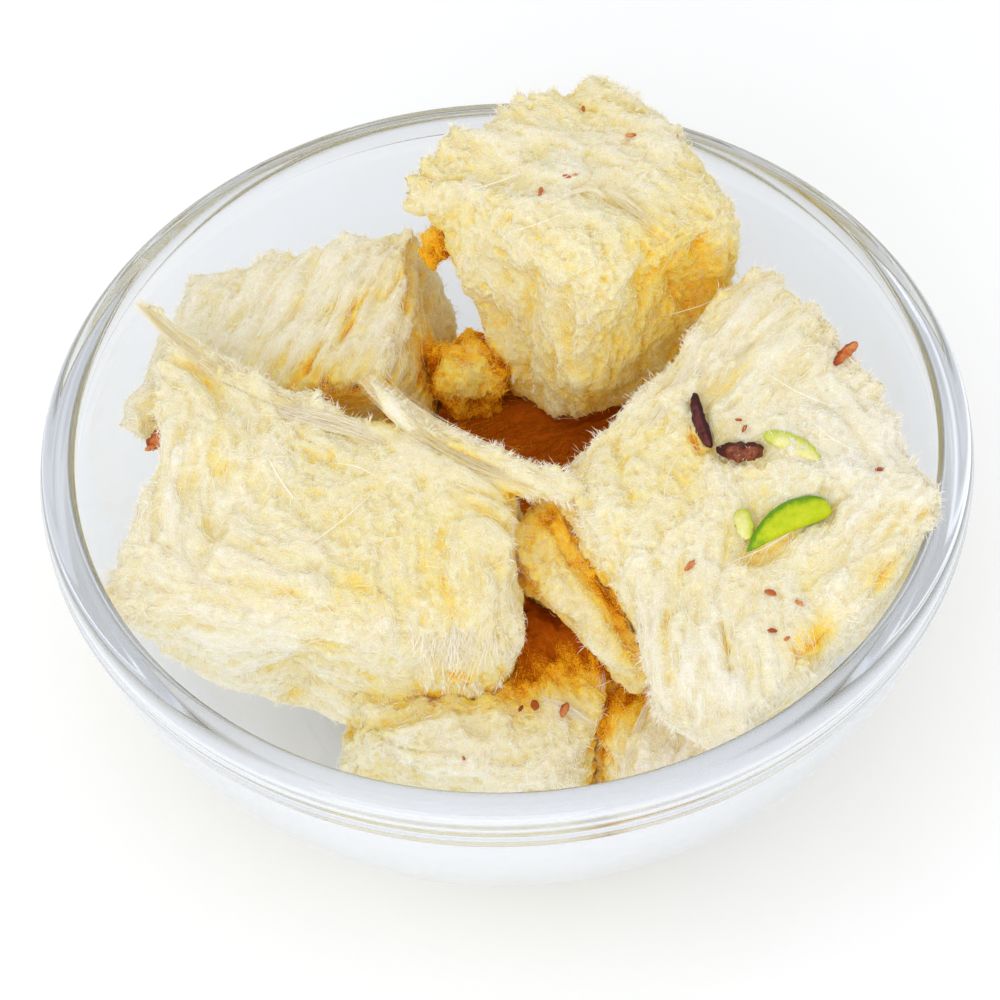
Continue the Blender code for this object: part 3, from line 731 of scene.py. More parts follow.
def buildSweetTone(look):                 # colour of the sweet from depth, painted shade and thread
    inputs = [(label, "NodeSocketFloat", value) for label, value in
              (("Open", 1.0), ("Gold_and_painted_shade", 0.0), ("Cavity", 0.0), ("Thread", 0.5), ("Mottle", 0.1))]
    tree, inside, out = group("sweetTone", inputs, [("Color", "NodeSocketColor"), ("Height", "NodeSocketFloat")])
    given = inside.outputs
    place = tree.nodes.new("ShaderNodeNewGeometry").outputs["Position"]
    broad = noiseNode(tree, place, 220, 3)
    fine = noiseNode(tree, place, 1500, 4, 0.7)
    grain = noiseNode(tree, place, 5200, 1)
    broadSwing, fineSwing, grainSwing, threadSwing = (
        mathNode(tree, "SUBTRACT", value, 0.5) for value in (broad, fine, grain, given["Thread"]))
    # painted shade: the less open a place is to the light, the deeper its colour
    shade = mathNode(tree, "MAXIMUM", mathNode(tree, "SUBTRACT", look["openest"], given["Open"]), 0.0)
    depth = mathNode(tree, "MULTIPLY", shade, look["shade"])
    mottle = mathNode(tree, "MULTIPLY", given["Mottle"], look["mottle"])
    # painted shade: the gold amount deepens the colour here
    for value, weight in ((given["Cavity"], look["cavity"]), (given["Gold_and_painted_shade"], look["gold_and_painted_shade"]), (broadSwing, mottle),
                          (fineSwing, look["fine"]), (grainSwing, look["grain"])):
        depth = mathNode(tree, "ADD", depth, mathNode(tree, "MULTIPLY", value, weight))
    thread = mathNode(tree, "MULTIPLY", threadSwing, look["thread"])
    depth = mathNode(tree, "SUBTRACT", depth, thread, clamp=True)
    places = (0.0, 0.20, 0.38, 0.56, 0.78, 1.0)
    tree.links.new(rampNode(tree, depth, list(zip(places, sweetColours.values()))), out.inputs["Color"])
    height = mathNode(tree, "ADD", fine, mathNode(tree, "MULTIPLY", grain, 0.6))
    tree.links.new(height, out.inputs["Height"])
    return tree


sweetTone = buildSweetTone(toneLook)


sweetLooks = {                            # bump in metres; softness: how much light goes in and spreads
    "tornSweet": {"roughness": 0.75, "softness": 0.35, "bump": 0.0003},
    "sugarThread": {"roughness": 0.6, "softness": 0.0},
}


def sweetMaterial(name, look):
    material, tree, shader = newMaterial(name, {
        "Roughness": look["roughness"], "Specular IOR Level": 0.08, "Subsurface Weight": look["softness"],
        "Subsurface Radius": (1.0, 0.62, 0.28), "Subsurface Scale": 0.002})
    tone = tree.nodes.new("ShaderNodeGroup")
    tone.node_tree = sweetTone
    for socket in ("Open", "Gold_and_painted_shade", "Cavity", "Thread"):
        tree.links.new(attributeNode(tree, socket.lower()), tone.inputs[socket])
    tone.inputs["Mottle"].default_value = 0.10
    tree.links.new(tone.outputs["Color"], shader.inputs["Base Color"])
    if "bump" in look:
        bumpNode(tree, shader, tone.outputs["Height"], 0.8, look["bump"])
    return material


blockMaterial, threadMaterial = (sweetMaterial(name, look) for name, look in sweetLooks.items())


# the torn blocks

def addPiece(name, mesh, material, replaced=()):
    thing = link(bpy.data.objects.new(name, mesh))
    thing.data.materials.append(material)
    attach(thing, "root")
    if replaced:
        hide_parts(*replaced)
    return thing


for name, base in bases.items():
    mesh = meshFrom(name + "_torn", base["verts"] * mm, base["faces"])
    setAttributes(mesh, {key: base[key] for key in ("open", "gold_and_painted_shade", "cavity")})
    setAttributes(mesh, {"thread": np.clip(0.05 + base["streak"] * 0.9, -0.6, 1)})
    addPiece(name + "_torn", mesh, blockMaterial, (name,))
print("torn blocks placed")


# threads, each a closed spindle with flat faces, so that its sides don't shade dark

# lengths and radii in mm; swerve: how far the threads turn from the combing, least and how much more where
# they aren't combed; shade: least and how much more
threadLook = {
    "fuzz": {"perMm2": 5.6, "length": (0.35, 1.3), "radius": (0.036, 0.070)},
    "comb": {"perMm2": 1.3, "length": (2.0, 9.0), "radius": (0.024, 0.048),
             "swerve": (0.06, 0.4), "curl": 0.10, "lift": 0.22, "shade": (0.1, 0.8)},
    "stray": {"perMm2": 0.29, "length": (1.2, 5.0), "radius": (0.026, 0.046),
              "swerve": (2.0, 0.0), "curl": 0.35, "lift": 0.7, "shade": (0.7, 0.6)},
    "whiskers": {"perPlace": 0.043, "length": (0.4, 2.0), "radius": (0.030, 0.058)},
    "fringe": {"radius": (0.028, 0.056), "gold_and_painted_shade": 0.12}, "lock": {"radius": (0.020, 0.042)},
    "edgeGap": 0.1,
}


# lines (n, k, 3) in mm; radii (n,); sides (n, k, 3) or (n, 3), square to the strands; values: name -> (n,)
def strandMesh(name, lines, radii, sides, values):
    count, knots = lines.shape[:2]
    if sides.ndim == 2:
        sides = np.repeat(sides[:, None, :], knots, 1)
    along = unit(np.gradient(lines, axis=1))
    across = unit(np.cross(along, sides))
    upward = np.cross(across, along)
    taper = np.sin(np.linspace(0.12, 0.88, knots) * math.pi) ** 0.5
    verts = []
    for knot in range(knots):
        if knot in (0, knots - 1):
            verts.append(lines[:, knot][:, None, :])
        else:
            ring = []
            for corner in range(3):
                angle = corner * 2 * math.pi / 3
                shift = upward[:, knot] * math.cos(angle) * 0.8 + across[:, knot] * math.sin(angle)
                ring.append(lines[:, knot] + shift * (radii * taper[knot])[:, None])
            verts.append(np.stack(ring, 1))
    starts = np.cumsum([0] + [v.shape[1] for v in verts])
    perStrand = starts[-1]
    verts = np.concatenate(verts, 1).reshape(-1, 3)
    faces = []
    for knot in range(1, knots - 1):
        here = starts[knot]
        for corner in range(3):
            a, b = here + corner, here + (corner + 1) % 3
            if knot == 1:
                faces.append((0, a, b))
            if knot == knots - 2:
                faces.append((perStrand - 1, b, a))
            else:
                faces += [(a, a + 3, b), (b, a + 3, b + 3)]
    faces = (np.array(faces)[None] + (np.arange(count) * perStrand)[:, None, None]).reshape(-1, 3)
    mesh = meshFrom(name, verts * mm, faces, smooth=False)
    setAttributes(mesh, {key: np.repeat(value, perStrand) for key, value in values.items()})
    return mesh


def scatterPoints(base, chooser, rate):   # random places on the torn surface, most where it is open and faces up
    verts, faces = base["verts"], base["faces"]
    area = np.linalg.norm(faceCross(verts, faces), axis=1) / 2
    openHere = base["open"][faces].mean(1)
    upward = base["normals"][faces][:, :, 2].mean(1)
    weight = area * np.clip((openHere - 0.2) * 3, 0.0, 1) * np.clip(0.75 + 0.6 * upward, 0.12, 1.15)
    total = int(weight.sum() * rate)
    picks = chooser.choice(len(faces), total, p=weight / weight.sum())
    first, second = chooser.random(total), chooser.random(total)
    flip = first + second > 1
    first[flip], second[flip] = 1 - first[flip], 1 - second[flip]
    return faces[picks], np.stack([1 - first - second, first, second], 1)


def mixed(values, corners, shares):
    picked = values[corners]
    if picked.ndim == 3:
        return (picked * shares[:, :, None]).sum(1)
    return (picked * shares).sum(1)


def between(chooser, limits, count, power):   # random sizes, most near the lower limit
    return limits[0] + (limits[1] - limits[0]) * chooser.random(count) ** power


def nearestOn(base, places):              # feet on the torn surface and its normals there
    found = [base["tree"].find_nearest(place) for place in places.tolist()]
    return np.array([f[0][:] for f in found]), np.array([f[1][:] for f in found])


def unlessGoldAndShade(value, gold_and_painted_shade):              # threads on golden and painted-shade places stay dim
    return value * (1 - 0.8 * np.clip(gold_and_painted_shade, 0, 1))


def surfaceValues(base, corners, shares, gold_and_painted_shade, cavity):
    values = {key: mixed(base[key], corners, shares) for key in ("open", "gold_and_painted_shade", "cavity")}
    values["gold_and_painted_shade"] *= gold_and_painted_shade
    values["cavity"] *= cavity
    return values


def layStrands(name, chooser, lines, sides, values, limits, power, gap=strandGap):   # strands kept off the glass
    lines = clearOfGlass(lines.reshape(-1, 3), gap).reshape(lines.shape)
    mesh = strandMesh(name, lines, between(chooser, limits, len(lines), power), sides, values)
    addPiece(name, mesh, threadMaterial)
    return len(mesh.polygons)


def threadStarts(base, look, chooser, rate, chance=None):   # where threads begin and which way they lie
    corners, shares = scatterPoints(base, chooser, rate)
    starts = mixed(base["verts"], corners, shares)
    direction, held = combField(starts, look)
    if chance:
        keep = chooser.random(len(starts)) < chance(starts, held)
        found = (starts, direction, held, corners, shares)
        starts, direction, held, corners, shares = (array[keep] for array in found)
    normals = unit(mixed(base["normals"], corners, shares))
    flow = tangent(direction, normals)
    return starts, held, corners, shares, normals, flow, np.cross(normals, flow)


def growFuzz(name, base, look, seed, rate):   # short fine threads that stand a little off the surface
    def chance(starts, held):
        clump = smoothStep(-0.25, 0.25, gradientNoise(starts / 2.0, seed))
        return (0.35 + 0.65 * clump) * (1 - 0.6 * held)
    kind = threadLook["fuzz"]
    chooser = np.random.default_rng(seed)
    rate = kind["perMm2"] * rate * look.get("fuzz", 1.0)
    starts, held, corners, shares, normals, flow, side = threadStarts(base, look, chooser, rate, chance)
    count = len(starts)
    edge = smoothStep(0.2, 0.7, mixed(base["convex"], corners, shares))
    angle = gradientNoise(starts / 1.2, seed + 1) * 6 * (1 - 0.6 * held) + chooser.normal(0, 0.8, count)
    heading = flow * np.cos(angle)[:, None] + side * np.sin(angle)[:, None]
    rise = np.abs(chooser.normal(0, 0.22, count)) + edge * (0.15 + 0.8 * chooser.random(count))
    heading = unit(heading + normals * rise[:, None])
    length = between(chooser, kind["length"], count, 1.8) * (1 + 0.35 * edge)
    first = starts - heading * (length * 0.15)[:, None]
    last = starts + heading * (length * 0.85)[:, None]
    bow = normals * np.abs(chooser.normal(0, 0.07, count))[:, None]
    bow = bow + side * chooser.normal(0, 0.09, count)[:, None]
    middle = (first + last) / 2 + bow * length[:, None]
    values = surfaceValues(base, corners, shares, 1.0, 0.3)
    values["thread"] = 0.2 + unlessGoldAndShade(1.3 * chooser.random(count), values["gold_and_painted_shade"])
    return layStrands(name, chooser, np.stack([first, middle, last], 1), normals, values, kind["radius"], 1.3)


def growThreads(name, base, look, seed, kindName, rate):   # long threads that follow the surface
    kind, combed = threadLook[kindName], kindName == "comb"
    chooser = np.random.default_rng(seed)
    chance = (lambda starts, held: 0.10 + 0.90 * held) if combed else None
    starts, held, corners, shares, normals, flow, side = threadStarts(
        base, look, chooser, kind["perMm2"] * rate, chance)
    count = len(starts)
    length = between(chooser, kind["length"], count, 1.6)
    least, more = kind["swerve"]
    angle = chooser.normal(0, 1, count) * (least + more * (1 - held))
    heading = flow * np.cos(angle)[:, None] + side * np.sin(angle)[:, None]
    curl = chooser.normal(0, kind["curl"], count)
    lift = 0.01 + kind["lift"] * chooser.random(count) ** 3
    knots = 4
    step = length / (knots - 1)
    place, lines, sides = starts.copy(), [], []
    for knot in range(knots):
        share = knot / (knots - 1)
        foot, normals = nearestOn(base, place)
        arch = np.sin(math.pi * share) * 0.5 + share * 0.5
        lines.append(foot + normals * (0.03 + lift * arch)[:, None])
        sides.append(normals)
        heading = tangent(heading, normals)
        side = np.cross(normals, heading)
        heading = unit(heading + side * (curl * step * 0.5)[:, None])
        if combed:
            flow = tangent(combField(place, look)[0], normals)
            flow *= np.sign((flow * heading).sum(1, keepdims=True) + 1e-9)
            heading = unit(heading + flow * 0.35)
        place = foot + heading * step[:, None]
    values = surfaceValues(base, corners, shares, 0.9, 0.6)
    least, more = kind["shade"]
    values["thread"] = unlessGoldAndShade(least + more * chooser.random(count), values["gold_and_painted_shade"])
    return layStrands(name, chooser, np.stack(lines, 1), np.stack(sides, 1), values, kind["radius"], 1.5)


def growWhiskers(name, base, look, seed, share):   # thin threads that stand off the torn edges
    kind = threadLook["whiskers"]
    chooser = np.random.default_rng(seed)
    verts, normals = base["verts"], base["normals"]
    count = int(len(verts) * kind["perPlace"] * share)
    weight = (smoothStep(0.12, 0.7, base["convex"]) + 0.02) * np.clip(base["open"] - 0.3, 0, 1)
    weight = weight * np.clip(0.7 + normals[:, 2], 0.05, 1)
    weight = weight * (0.08 + smoothStep(0.0, 0.45, gradientNoise(verts / 1.3, seed + 7)))
    picks = chooser.choice(len(verts), count, p=weight / weight.sum())
    direction, held = combField(verts[picks], look)
    flow = tangent(direction, normals[picks])
    flow *= np.where(gradientNoise(verts[picks] / 3.0, seed + 8) < 0, -1, 1)[:, None]
    lean = noiseVectors(verts[picks] / 1.7, seed + 20) * 1.3
    heading = unit(normals[picks] * (0.35 + 0.6 * chooser.random(count))[:, None] + flow * (0.9 * held)[:, None]
                   + lean + chooser.normal(0, 0.16, (count, 3)))
    bend = chooser.normal(0, 0.45, (count, 3))
    length = between(chooser, kind["length"], count, 2.0)
    lines, heading = bentLines(verts[picks] - heading * 0.15, heading, bend, length)
    sides = unit(np.cross(heading, chooser.normal(0, 1, (count, 3))))
    thread = unlessGoldAndShade(0.4 + 0.8 * chooser.random(count), base["gold_and_painted_shade"][picks])
    values = {"open": base["open"][picks], "gold_and_painted_shade": base["gold_and_painted_shade"][picks] * 0.8, "cavity": np.zeros(count),
              "thread": thread}
    return layStrands(name, chooser, lines, sides, values, kind["radius"], 1.0, threadLook["edgeGap"])


def bentLines(place, heading, bend, length, knots=3):   # free strands that bend evenly, and where they head
    lines = []
    for _ in range(knots):
        lines.append(place)
        heading = unit(heading + bend / knots)
        place = place + heading * (length / (knots - 1))[:, None]
    return np.stack(lines, 1), heading


def growLock(chooser, lock):              # a lock of threads laid along a line
    line, width, height, count, gold_and_painted_shade = lock
    knots = 7
    begin = chooser.random(count) ** 1.3 * 0.62 - 0.05
    span = 0.28 + 0.5 * chooser.random(count)
    shares = begin[:, None] + span[:, None] * np.linspace(0, 1, knots)[None]
    middle = alongLine(line, shares)
    beyond = np.maximum(shares - 1, 0) + np.minimum(shares, 0)
    along = unit(np.gradient(middle, axis=1) + 1e-9)
    middle = middle + along * (beyond * 6)[:, :, None]
    up = np.array([0, 0, 1.0])
    across = unit(np.cross(along, up))
    turn, far = chooser.random(count) * 2 * math.pi, chooser.random(count) ** 0.6
    swell = 0.45 + 0.55 * np.sin(math.pi * np.clip(shares, 0.08, 0.92))
    wander = chooser.normal(0, 0.22, (count, 2, 1)) * np.linspace(-1, 1, knots)[None, None]
    waves = chooser.random((count, 2, 1)) * 6.3
    waves = waves + np.linspace(0, 1, knots)[None, None] * (3 + 5 * chooser.random((count, 2, 1)))
    wander = wander + np.sin(waves) * 0.12
    sideways = (np.cos(turn) * far)[:, None] * width * swell + wander[:, 0] * width
    upward = (np.sin(turn) * far)[:, None] * height * swell + wander[:, 1] * height
    lines = middle + across * sideways[:, :, None] + up * upward[:, :, None]
    return lines, unit(across * (np.cos(turn) * far)[:, None, None] + up * 0.6), np.full(count, gold_and_painted_shade)


# locks of threads laid on the blocks: line in mm, half width, half height, count, gold and painted shade
locks = [
    (((-18, 8.0, 54.8), (-12.5, 1.9, 53.4), (-7, -2.1, 52.4), (-1, -5.6, 51.8), (5, -8.1, 51.2), (10.4, -9.6, 50.7)),
     2.4, 0.4, 560, 0.42),
    (((-47.8, 22.9, 55.2), (-42, 15.6, 54.8), (-34, 9, 54), (-27, 5.5, 53.2)), 1.4, 0.35, 380, 0.35),
    (((-36, 8.6, 53.6), (-28, 4.6, 52.8), (-20, 1.6, 52.2), (-14, -1.8, 51.8)), 1.6, 0.3, 200, 0.18),
    (((35.6, 16.4, 57.6), (28.4, 9.0, 57.0), (20.6, -0.3, 53.8)), 1.8, 0.25, 120, 0.15),
    (((38, 13.6, 57.3), (31.6, 7.6, 56.8), (24, 1.7, 54.7)), 1.8, 0.25, 100, 0.15),
    (((34, 15.8, 57.0), (26, 7.4, 56.2), (17.5, -2.6, 53.0)), 1.2, 0.3, 120, 0.15),
    (((7, 25.6, 67), (12.8, 28.4, 66.9), (15, 26.6, 66.4)), 0.4, 0.25, 40, 0.1),
    (((14.9, 27.9, 66.5), (17.8, 25.4, 65.9), (20.5, 22.6, 65.5)), 0.9, 0.35, 80, 0.3),
    (((10.8, -20.6, 31.6), (10.4, -27, 30.2), (7.6, -34.4, 26.8)), 0.8, 0.4, 110, 0.2),
    (((3, -28, 31.4), (6, -29.6, 31.2), (9.4, -31, 29.4)), 0.7, 0.4, 80, 0.05),
    (((17, -27, 28.9), (14.6, -32, 27.9), (12.6, -38, 25.4)), 0.6, 0.4, 80, 0.15),
]
# ragged edges of each piece: line along the edge, scatter, direction, shortest and longest, count, lift
fringes = {
    "piece_left_front": [
        (((-16, 6.5, 55.2), (-9, 0.5, 54.2), (-3, -3.2, 53.4), (4, -6.6, 52.8), (9, -8.4, 52)), 0.4, (0.7, 0.4, 0.4),
         (0.5, 2.0), 520, 0.35),
        (((3, -10.5, 51), (7, -11.5, 50), (11, -11.6, 49.6)), 0.8, (0.7, -0.5, -0.4), (0.6, 2.6), 320, 0.3),
        (((-47.6, 23, 56), (-41, 16.6, 55.3), (-33, 10.5, 54.6), (-26, 6.4, 53.8)), 0.5, (0.3, 0.6, 0.6), (0.4, 1.3),
         160, 0.45),
        (((-13, -24.5, 46), (-8, -26, 44), (-2.5, -25.6, 43)), 1.3, (-0.04, -0.3, -1), (3.0, 8.0), 700, 0.08),
        (((-12, -27, 35), (-7, -28.5, 33), (-2, -27.8, 32)), 0.9, (-0.04, -0.1, -1), (1.0, 2.6), 400, 0.08),
        (((-51, -17, 50), (-50, -21, 48.6), (-47, -23.5, 46)), 1.6, (-0.7, -0.5, 0.1), (0.8, 3.6), 320, 0.45),
        (((-46, -22, 42), (-38, -23, 34), (-28, -24, 28)), 1.8, (-0.2, -0.8, -0.3), (0.6, 2.6), 460, 0.45),
        (((-46, -3, 52), (-46.6, -9, 51), (-48.6, -15, 50.4)), 0.8, (-1, 0.1, 0.2), (0.5, 2.2), 240, 0.45),
    ],
    "piece_right": [
        (((12.5, -36, 45), (17, -41, 46), (22, -45, 46)), 1.6, (-0.1, -0.8, -0.3), (0.6, 2.8), 460, 0.45),
        (((22, -45, 46), (28, -44, 47), (36, -39, 49)), 1.6, (0.1, -0.8, -0.2), (0.6, 2.6), 460, 0.45),
        (((8, -5, 51), (8.5, -12, 49), (10.5, -20, 47)), 1.2, (-1, -0.2, 0.1), (0.4, 1.5), 300, 0.45),
        (((10.5, -20, 47), (12, -28, 46), (13, -35, 45)), 1.2, (-0.9, -0.4, 0.0), (0.4, 1.7), 280, 0.45),
        (((9, -4, 51.5), (16, 3, 53), (24, 13, 56)), 0.9, (-0.7, 0.6, 0.4), (0.4, 1.6), 240, 0.45),
        (((33, 19, 58), (42, 9, 57.6), (50, -5, 57), (54, -17, 56.4)), 0.9, (0.8, 0.4, 0.3), (0.4, 2.2), 320, 0.45),
    ],
    "piece_top_back": [
        (((-9, 35, 66), (-2, 42, 66), (7, 48, 66.4), (15, 50, 66.4)), 0.9, (-0.4, 0.7, 0.5), (0.4, 1.8), 240, 0.45),
        (((16, 50, 66.4), (25, 39, 66), (33, 28, 65)), 0.9, (0.7, 0.4, 0.4), (0.4, 1.8), 200, 0.45),
        (((20, 34, 66.6), (23, 36, 67), (25.5, 37, 66.8)), 0.6, (0.3, 0.8, 0.6), (1.0, 2.6), 40, 0.45),
        (((-3, 17, 42), (4, 14, 40), (12, 13, 39), (22, 15, 40)), 1.2, (0, -0.3, -0.9), (0.4, 1.6), 240, 0.45),
    ],
    "piece_left_back": [
        (((-42, 33, 47), (-32, 36, 48.5), (-20, 37, 50), (-11, 36, 50)), 0.9, (-0.05, 0.9, 0.4), (0.4, 2.4), 300,
         0.45),
        (((-47, 26, 46), (-49, 16, 45), (-49, 9, 44)), 1.5, (-0.9, -0.1, 0.2), (0.5, 2.0), 160, 0.45),
    ],
    "piece_bottom_front": [
        (((-20, -29, 29), (-19, -33, 28), (-15, -37, 26)), 1.0, (-0.7, -0.4, 0.3), (0.6, 2.4), 260, 0.4),
    ],
    "piece_middle": [
        (((1, -12, 43.5), (5, -18, 42), (11, -25, 39)), 0.9, (-0.6, -0.4, 0.4), (0.4, 1.6), 160, 0.45),
    ],
}


def growFringe(chooser, base, fringe):    # threads that stand off a torn edge, in tufts of about eleven
    line, scatter, direction, limits, count, lift = fringe
    tufts = max(count // 11, 1)
    tuft = chooser.integers(tufts, size=count)
    places = alongLine(line, chooser.random(tufts))[tuft] + chooser.normal(0, scatter, (tufts, 3))[tuft]
    places = places + chooser.normal(0, 0.28, (count, 3))
    foot, normals = nearestOn(base, places)
    heading = unit(np.array([direction], float)) + normals * lift + chooser.normal(0, 0.3, (tufts, 3))[tuft]
    heading = unit(heading + chooser.normal(0, 0.14, (count, 3)))
    length = between(chooser, limits, tufts, 1.6)[tuft] * (0.55 + 0.45 * chooser.random(count))
    bend = chooser.normal(0, 0.35, (count, 3))
    lines, heading = bentLines(foot - heading * 0.2, heading, bend, length)
    return lines, unit(np.cross(heading, chooser.normal(0, 1, (count, 3))))


def layFringes(look):
    chooser = np.random.default_rng(41)
    parts = [growFringe(chooser, bases[name], fringe) for name, rows in fringes.items() for fringe in rows]
    lines, sides = (np.concatenate(part) for part in zip(*parts))
    count = len(lines)
    values = {"open": np.ones(count), "gold_and_painted_shade": np.full(count, look["gold_and_painted_shade"]), "cavity": np.zeros(count),
              "thread": 0.2 + 1.0 * chooser.random(count)}
    return layStrands("edgeFringes", chooser, lines, sides, values, look["radius"], 1.2, threadLook["edgeGap"])


def layLocks(look):
    chooser = np.random.default_rng(7)
    lines, sides, gold_and_painted_shade = (np.concatenate(part) for part in zip(*[growLock(chooser, lock) for lock in locks]))
    count = len(lines)
    values = {"open": np.ones(count), "gold_and_painted_shade": gold_and_painted_shade, "cavity": 0.3 * chooser.random(count),
              "thread": 1.1 * chooser.random(count)}
    return layStrands("threadLocks", chooser, lines, sides, values, look["radius"], 1.6)


# single long threads lying loose: start, end, how far it bows, radius
looseThreads = [
    ((-32.9, 3.8, 53.4), (-32.9, -5.7, 51.9), 0.3, 0.13), ((-30.9, -2, 53.2), (-26.9, -9.7, 51.4), 0.4, 0.13),
    ((-39, -1.0, 52.8), (-29.5, -3.4, 52.6), 0.7, 0.06), ((-36, -14.5, 50.2), (-31, -19.5, 49.4), 0.5, 0.07),
    ((-26, -16.5, 50.6), (-17, -8.6, 51.6), 0.5, 0.07), ((-38, 5.5, 53.8), (-34.8, -3, 52.4), 0.8, 0.06),
    ((-16.5, -7, 52.2), (-22, -4.4, 52.4), 0.4, 0.06), ((22, -6.8, 53.6), (19.5, -14, 52.2), 0.6, 0.06),
    ((27.5, -23.5, 52.6), (35.5, -19.5, 53.4), 0.6, 0.05), ((38, -4, 57.2), (44.5, -11, 57), 0.9, 0.06),
    ((33.8, 3, 57.2), (42, -3.5, 57.4), 0.7, 0.06), ((2, 21, 66.8), (9.5, 24, 67), 0.6, 0.06),
    ((12, 16.4, 56), (8.5, 15.6, 48.5), 0.5, 0.06), ((22, 18.3, 52), (30.6, 20.6, 53.2), 0.6, 0.06),
    ((-3, 29.4, 66.2), (4.5, 32, 66.6), 0.4, 0.06), ((8, -26.5, 30.6), (12.6, -24.6, 30.2), 0.5, 0.05),
]


def layLooseThreads():
    chooser = np.random.default_rng(17)
    shares = np.linspace(0, 1, 9)[None, :, None]
    start, end, bow, radius = (np.array(column, float) for column in zip(*looseThreads))
    start, end, bow, up = start[:, None], end[:, None], bow[:, None, None], np.array([0, 0, 1.0])
    side = unit(np.cross(end - start, up))
    arch = np.sin(shares * math.pi)
    lines = start + (end - start) * shares + side * bow * arch + up * 0.3 * arch
    count = len(lines)
    values = {"open": np.ones(count), "gold_and_painted_shade": np.full(count, -0.1), "cavity": np.zeros(count),
              "thread": 0.8 + 0.2 * chooser.random(count)}
    mesh = strandMesh("looseThreads", lines, radius, np.tile(up, (count, 1)), values)
    addPiece("looseThreads", mesh, threadMaterial)


total = 0
share = 1.0        # of the threads
for name, base in bases.items():
    base["tree"] = BVHTree.FromPolygons(base["verts"].tolist(), base["faces"].tolist())
    look = pieceLooks[name]
    seed = look["seed"] * 3
    total += growFuzz(name + "_fuzz", base, look, seed, share)
    total += growThreads(name + "_combed", base, look, seed + 1, "comb", share)
    total += growThreads(name + "_stray", base, look, seed + 5, "stray", share)
    total += growWhiskers(name + "_whiskers", base, look, seed + 2, share)
total += layLocks(threadLook["lock"])
total += layFringes(threadLook["fringe"])
layLooseThreads()
print("threads:", total, "triangles")


# nuts: a kind gives the colours and the slot; a sliver's line runs from its start to its end, and its size
# is width and height

nutKinds = {
    "green": {"slot": "green_nut", "body": (0.440, 0.540, 0.006), "rim": (0.130, 0.300, 0.004),
              "streak": (0.560, 0.600, 0.016)},
    "palegreen": {"slot": "green_nut", "body": (0.700, 0.690, 0.190), "rim": (0.560, 0.620, 0.060),
                  "streak": (0.830, 0.770, 0.400)},
    "purple": {"slot": "brown_nut", "body": (0.060, 0.008, 0.011), "rim": (0.030, 0.004, 0.007),
               "streak": (0.150, 0.036, 0.032)},
    "redbrown": {"slot": "brown_nut", "body": (0.095, 0.018, 0.011), "rim": (0.050, 0.008, 0.007),
                 "streak": (0.380, 0.110, 0.045)},
    "fleck": {"slot": "brown_nut", "body": (0.470, 0.105, 0.020), "rim": (0.290, 0.050, 0.012),
              "streak": (0.700, 0.300, 0.100)},
}
slivers = {
    "greenSliver": {"kind": "green", "line": ((29.2, -22.3, 52.5), (39.9, -17.0, 54.4)), "size": (4.2, 2.3),
                    "bow": 1.4, "ends": (0.75, 0.3), "rough": 0.4},
    "purpleSliver": {"kind": "purple", "line": ((24.5, 1.6, 55.4), (25.9, -6.4, 54.2)), "size": (1.7, 1.9),
                     "bow": -0.35, "ends": (0.4, 0.3), "rough": 1.6},
    "brownSliver": {"kind": "redbrown", "line": ((26.8, -6.9, 54.1), (32.6, -8.3, 55.0)), "size": (2.6, 2.0),
                    "bow": -0.3, "ends": (0.5, 0.4), "rough": 2.2},
    "paleSliver": {"kind": "palegreen", "line": ((32.8, -5.8, 55.3), (39.4, -10.8, 55.6)), "size": (2.7, 1.6),
                   "bow": 0.5, "ends": (0.4, 0.5), "rough": 1.2},
    "smallSliver": {"kind": "palegreen", "line": ((29.0, -16.2, 53.4), (29.5, -20.4, 52.8)), "size": (2.4, 1.5),
                    "bow": 0.0, "ends": (0.4, 0.4), "rough": 1.0},
    "edgeSliver": {"kind": "fleck", "line": ((42.6, 3.2, 57.6), (46.0, 6.2, 58.4)), "size": (1.5, 1.0),
                   "bow": 0.3, "ends": (0.5, 0.5), "rough": 2.4},
    "cornerNut": {"kind": "fleck", "line": ((-46.6, 3.6, 47.6), (-44.6, 5.8, 48.2)), "size": (2.0, 1.7),
                  "bow": 0.0, "ends": (0.4, 0.4), "rough": 2.0},
}


def nutMaterial(name, colours):
    material, tree, shader = newMaterial(name, {"Roughness": 0.45, "Specular IOR Level": 0.2})
    place = tree.nodes.new("ShaderNodeNewGeometry").outputs["Position"]
    grain = noiseNode(tree, place, 900, 4, 0.7)
    shift = mathNode(tree, "MULTIPLY", mathNode(tree, "SUBTRACT", grain, 0.5), 1.1)
    level = mathNode(tree, "ADD", attributeNode(tree, "rim"), shift, clamp=True)
    stops = ((0.12, colours["streak"]), (0.42, colours["body"]), (0.85, colours["rim"]))
    tree.links.new(rampNode(tree, level, stops), shader.inputs["Base Color"])
    bumpNode(tree, shader, grain, 0.5, 0.0002)
    return material


nutMaterials = {kind: nutMaterial(kind + "Nut", look) for kind, look in nutKinds.items()}


def squared(wave):                        # makes a round cross-section a little boxy
    return np.sign(wave) * np.abs(wave) ** 0.8


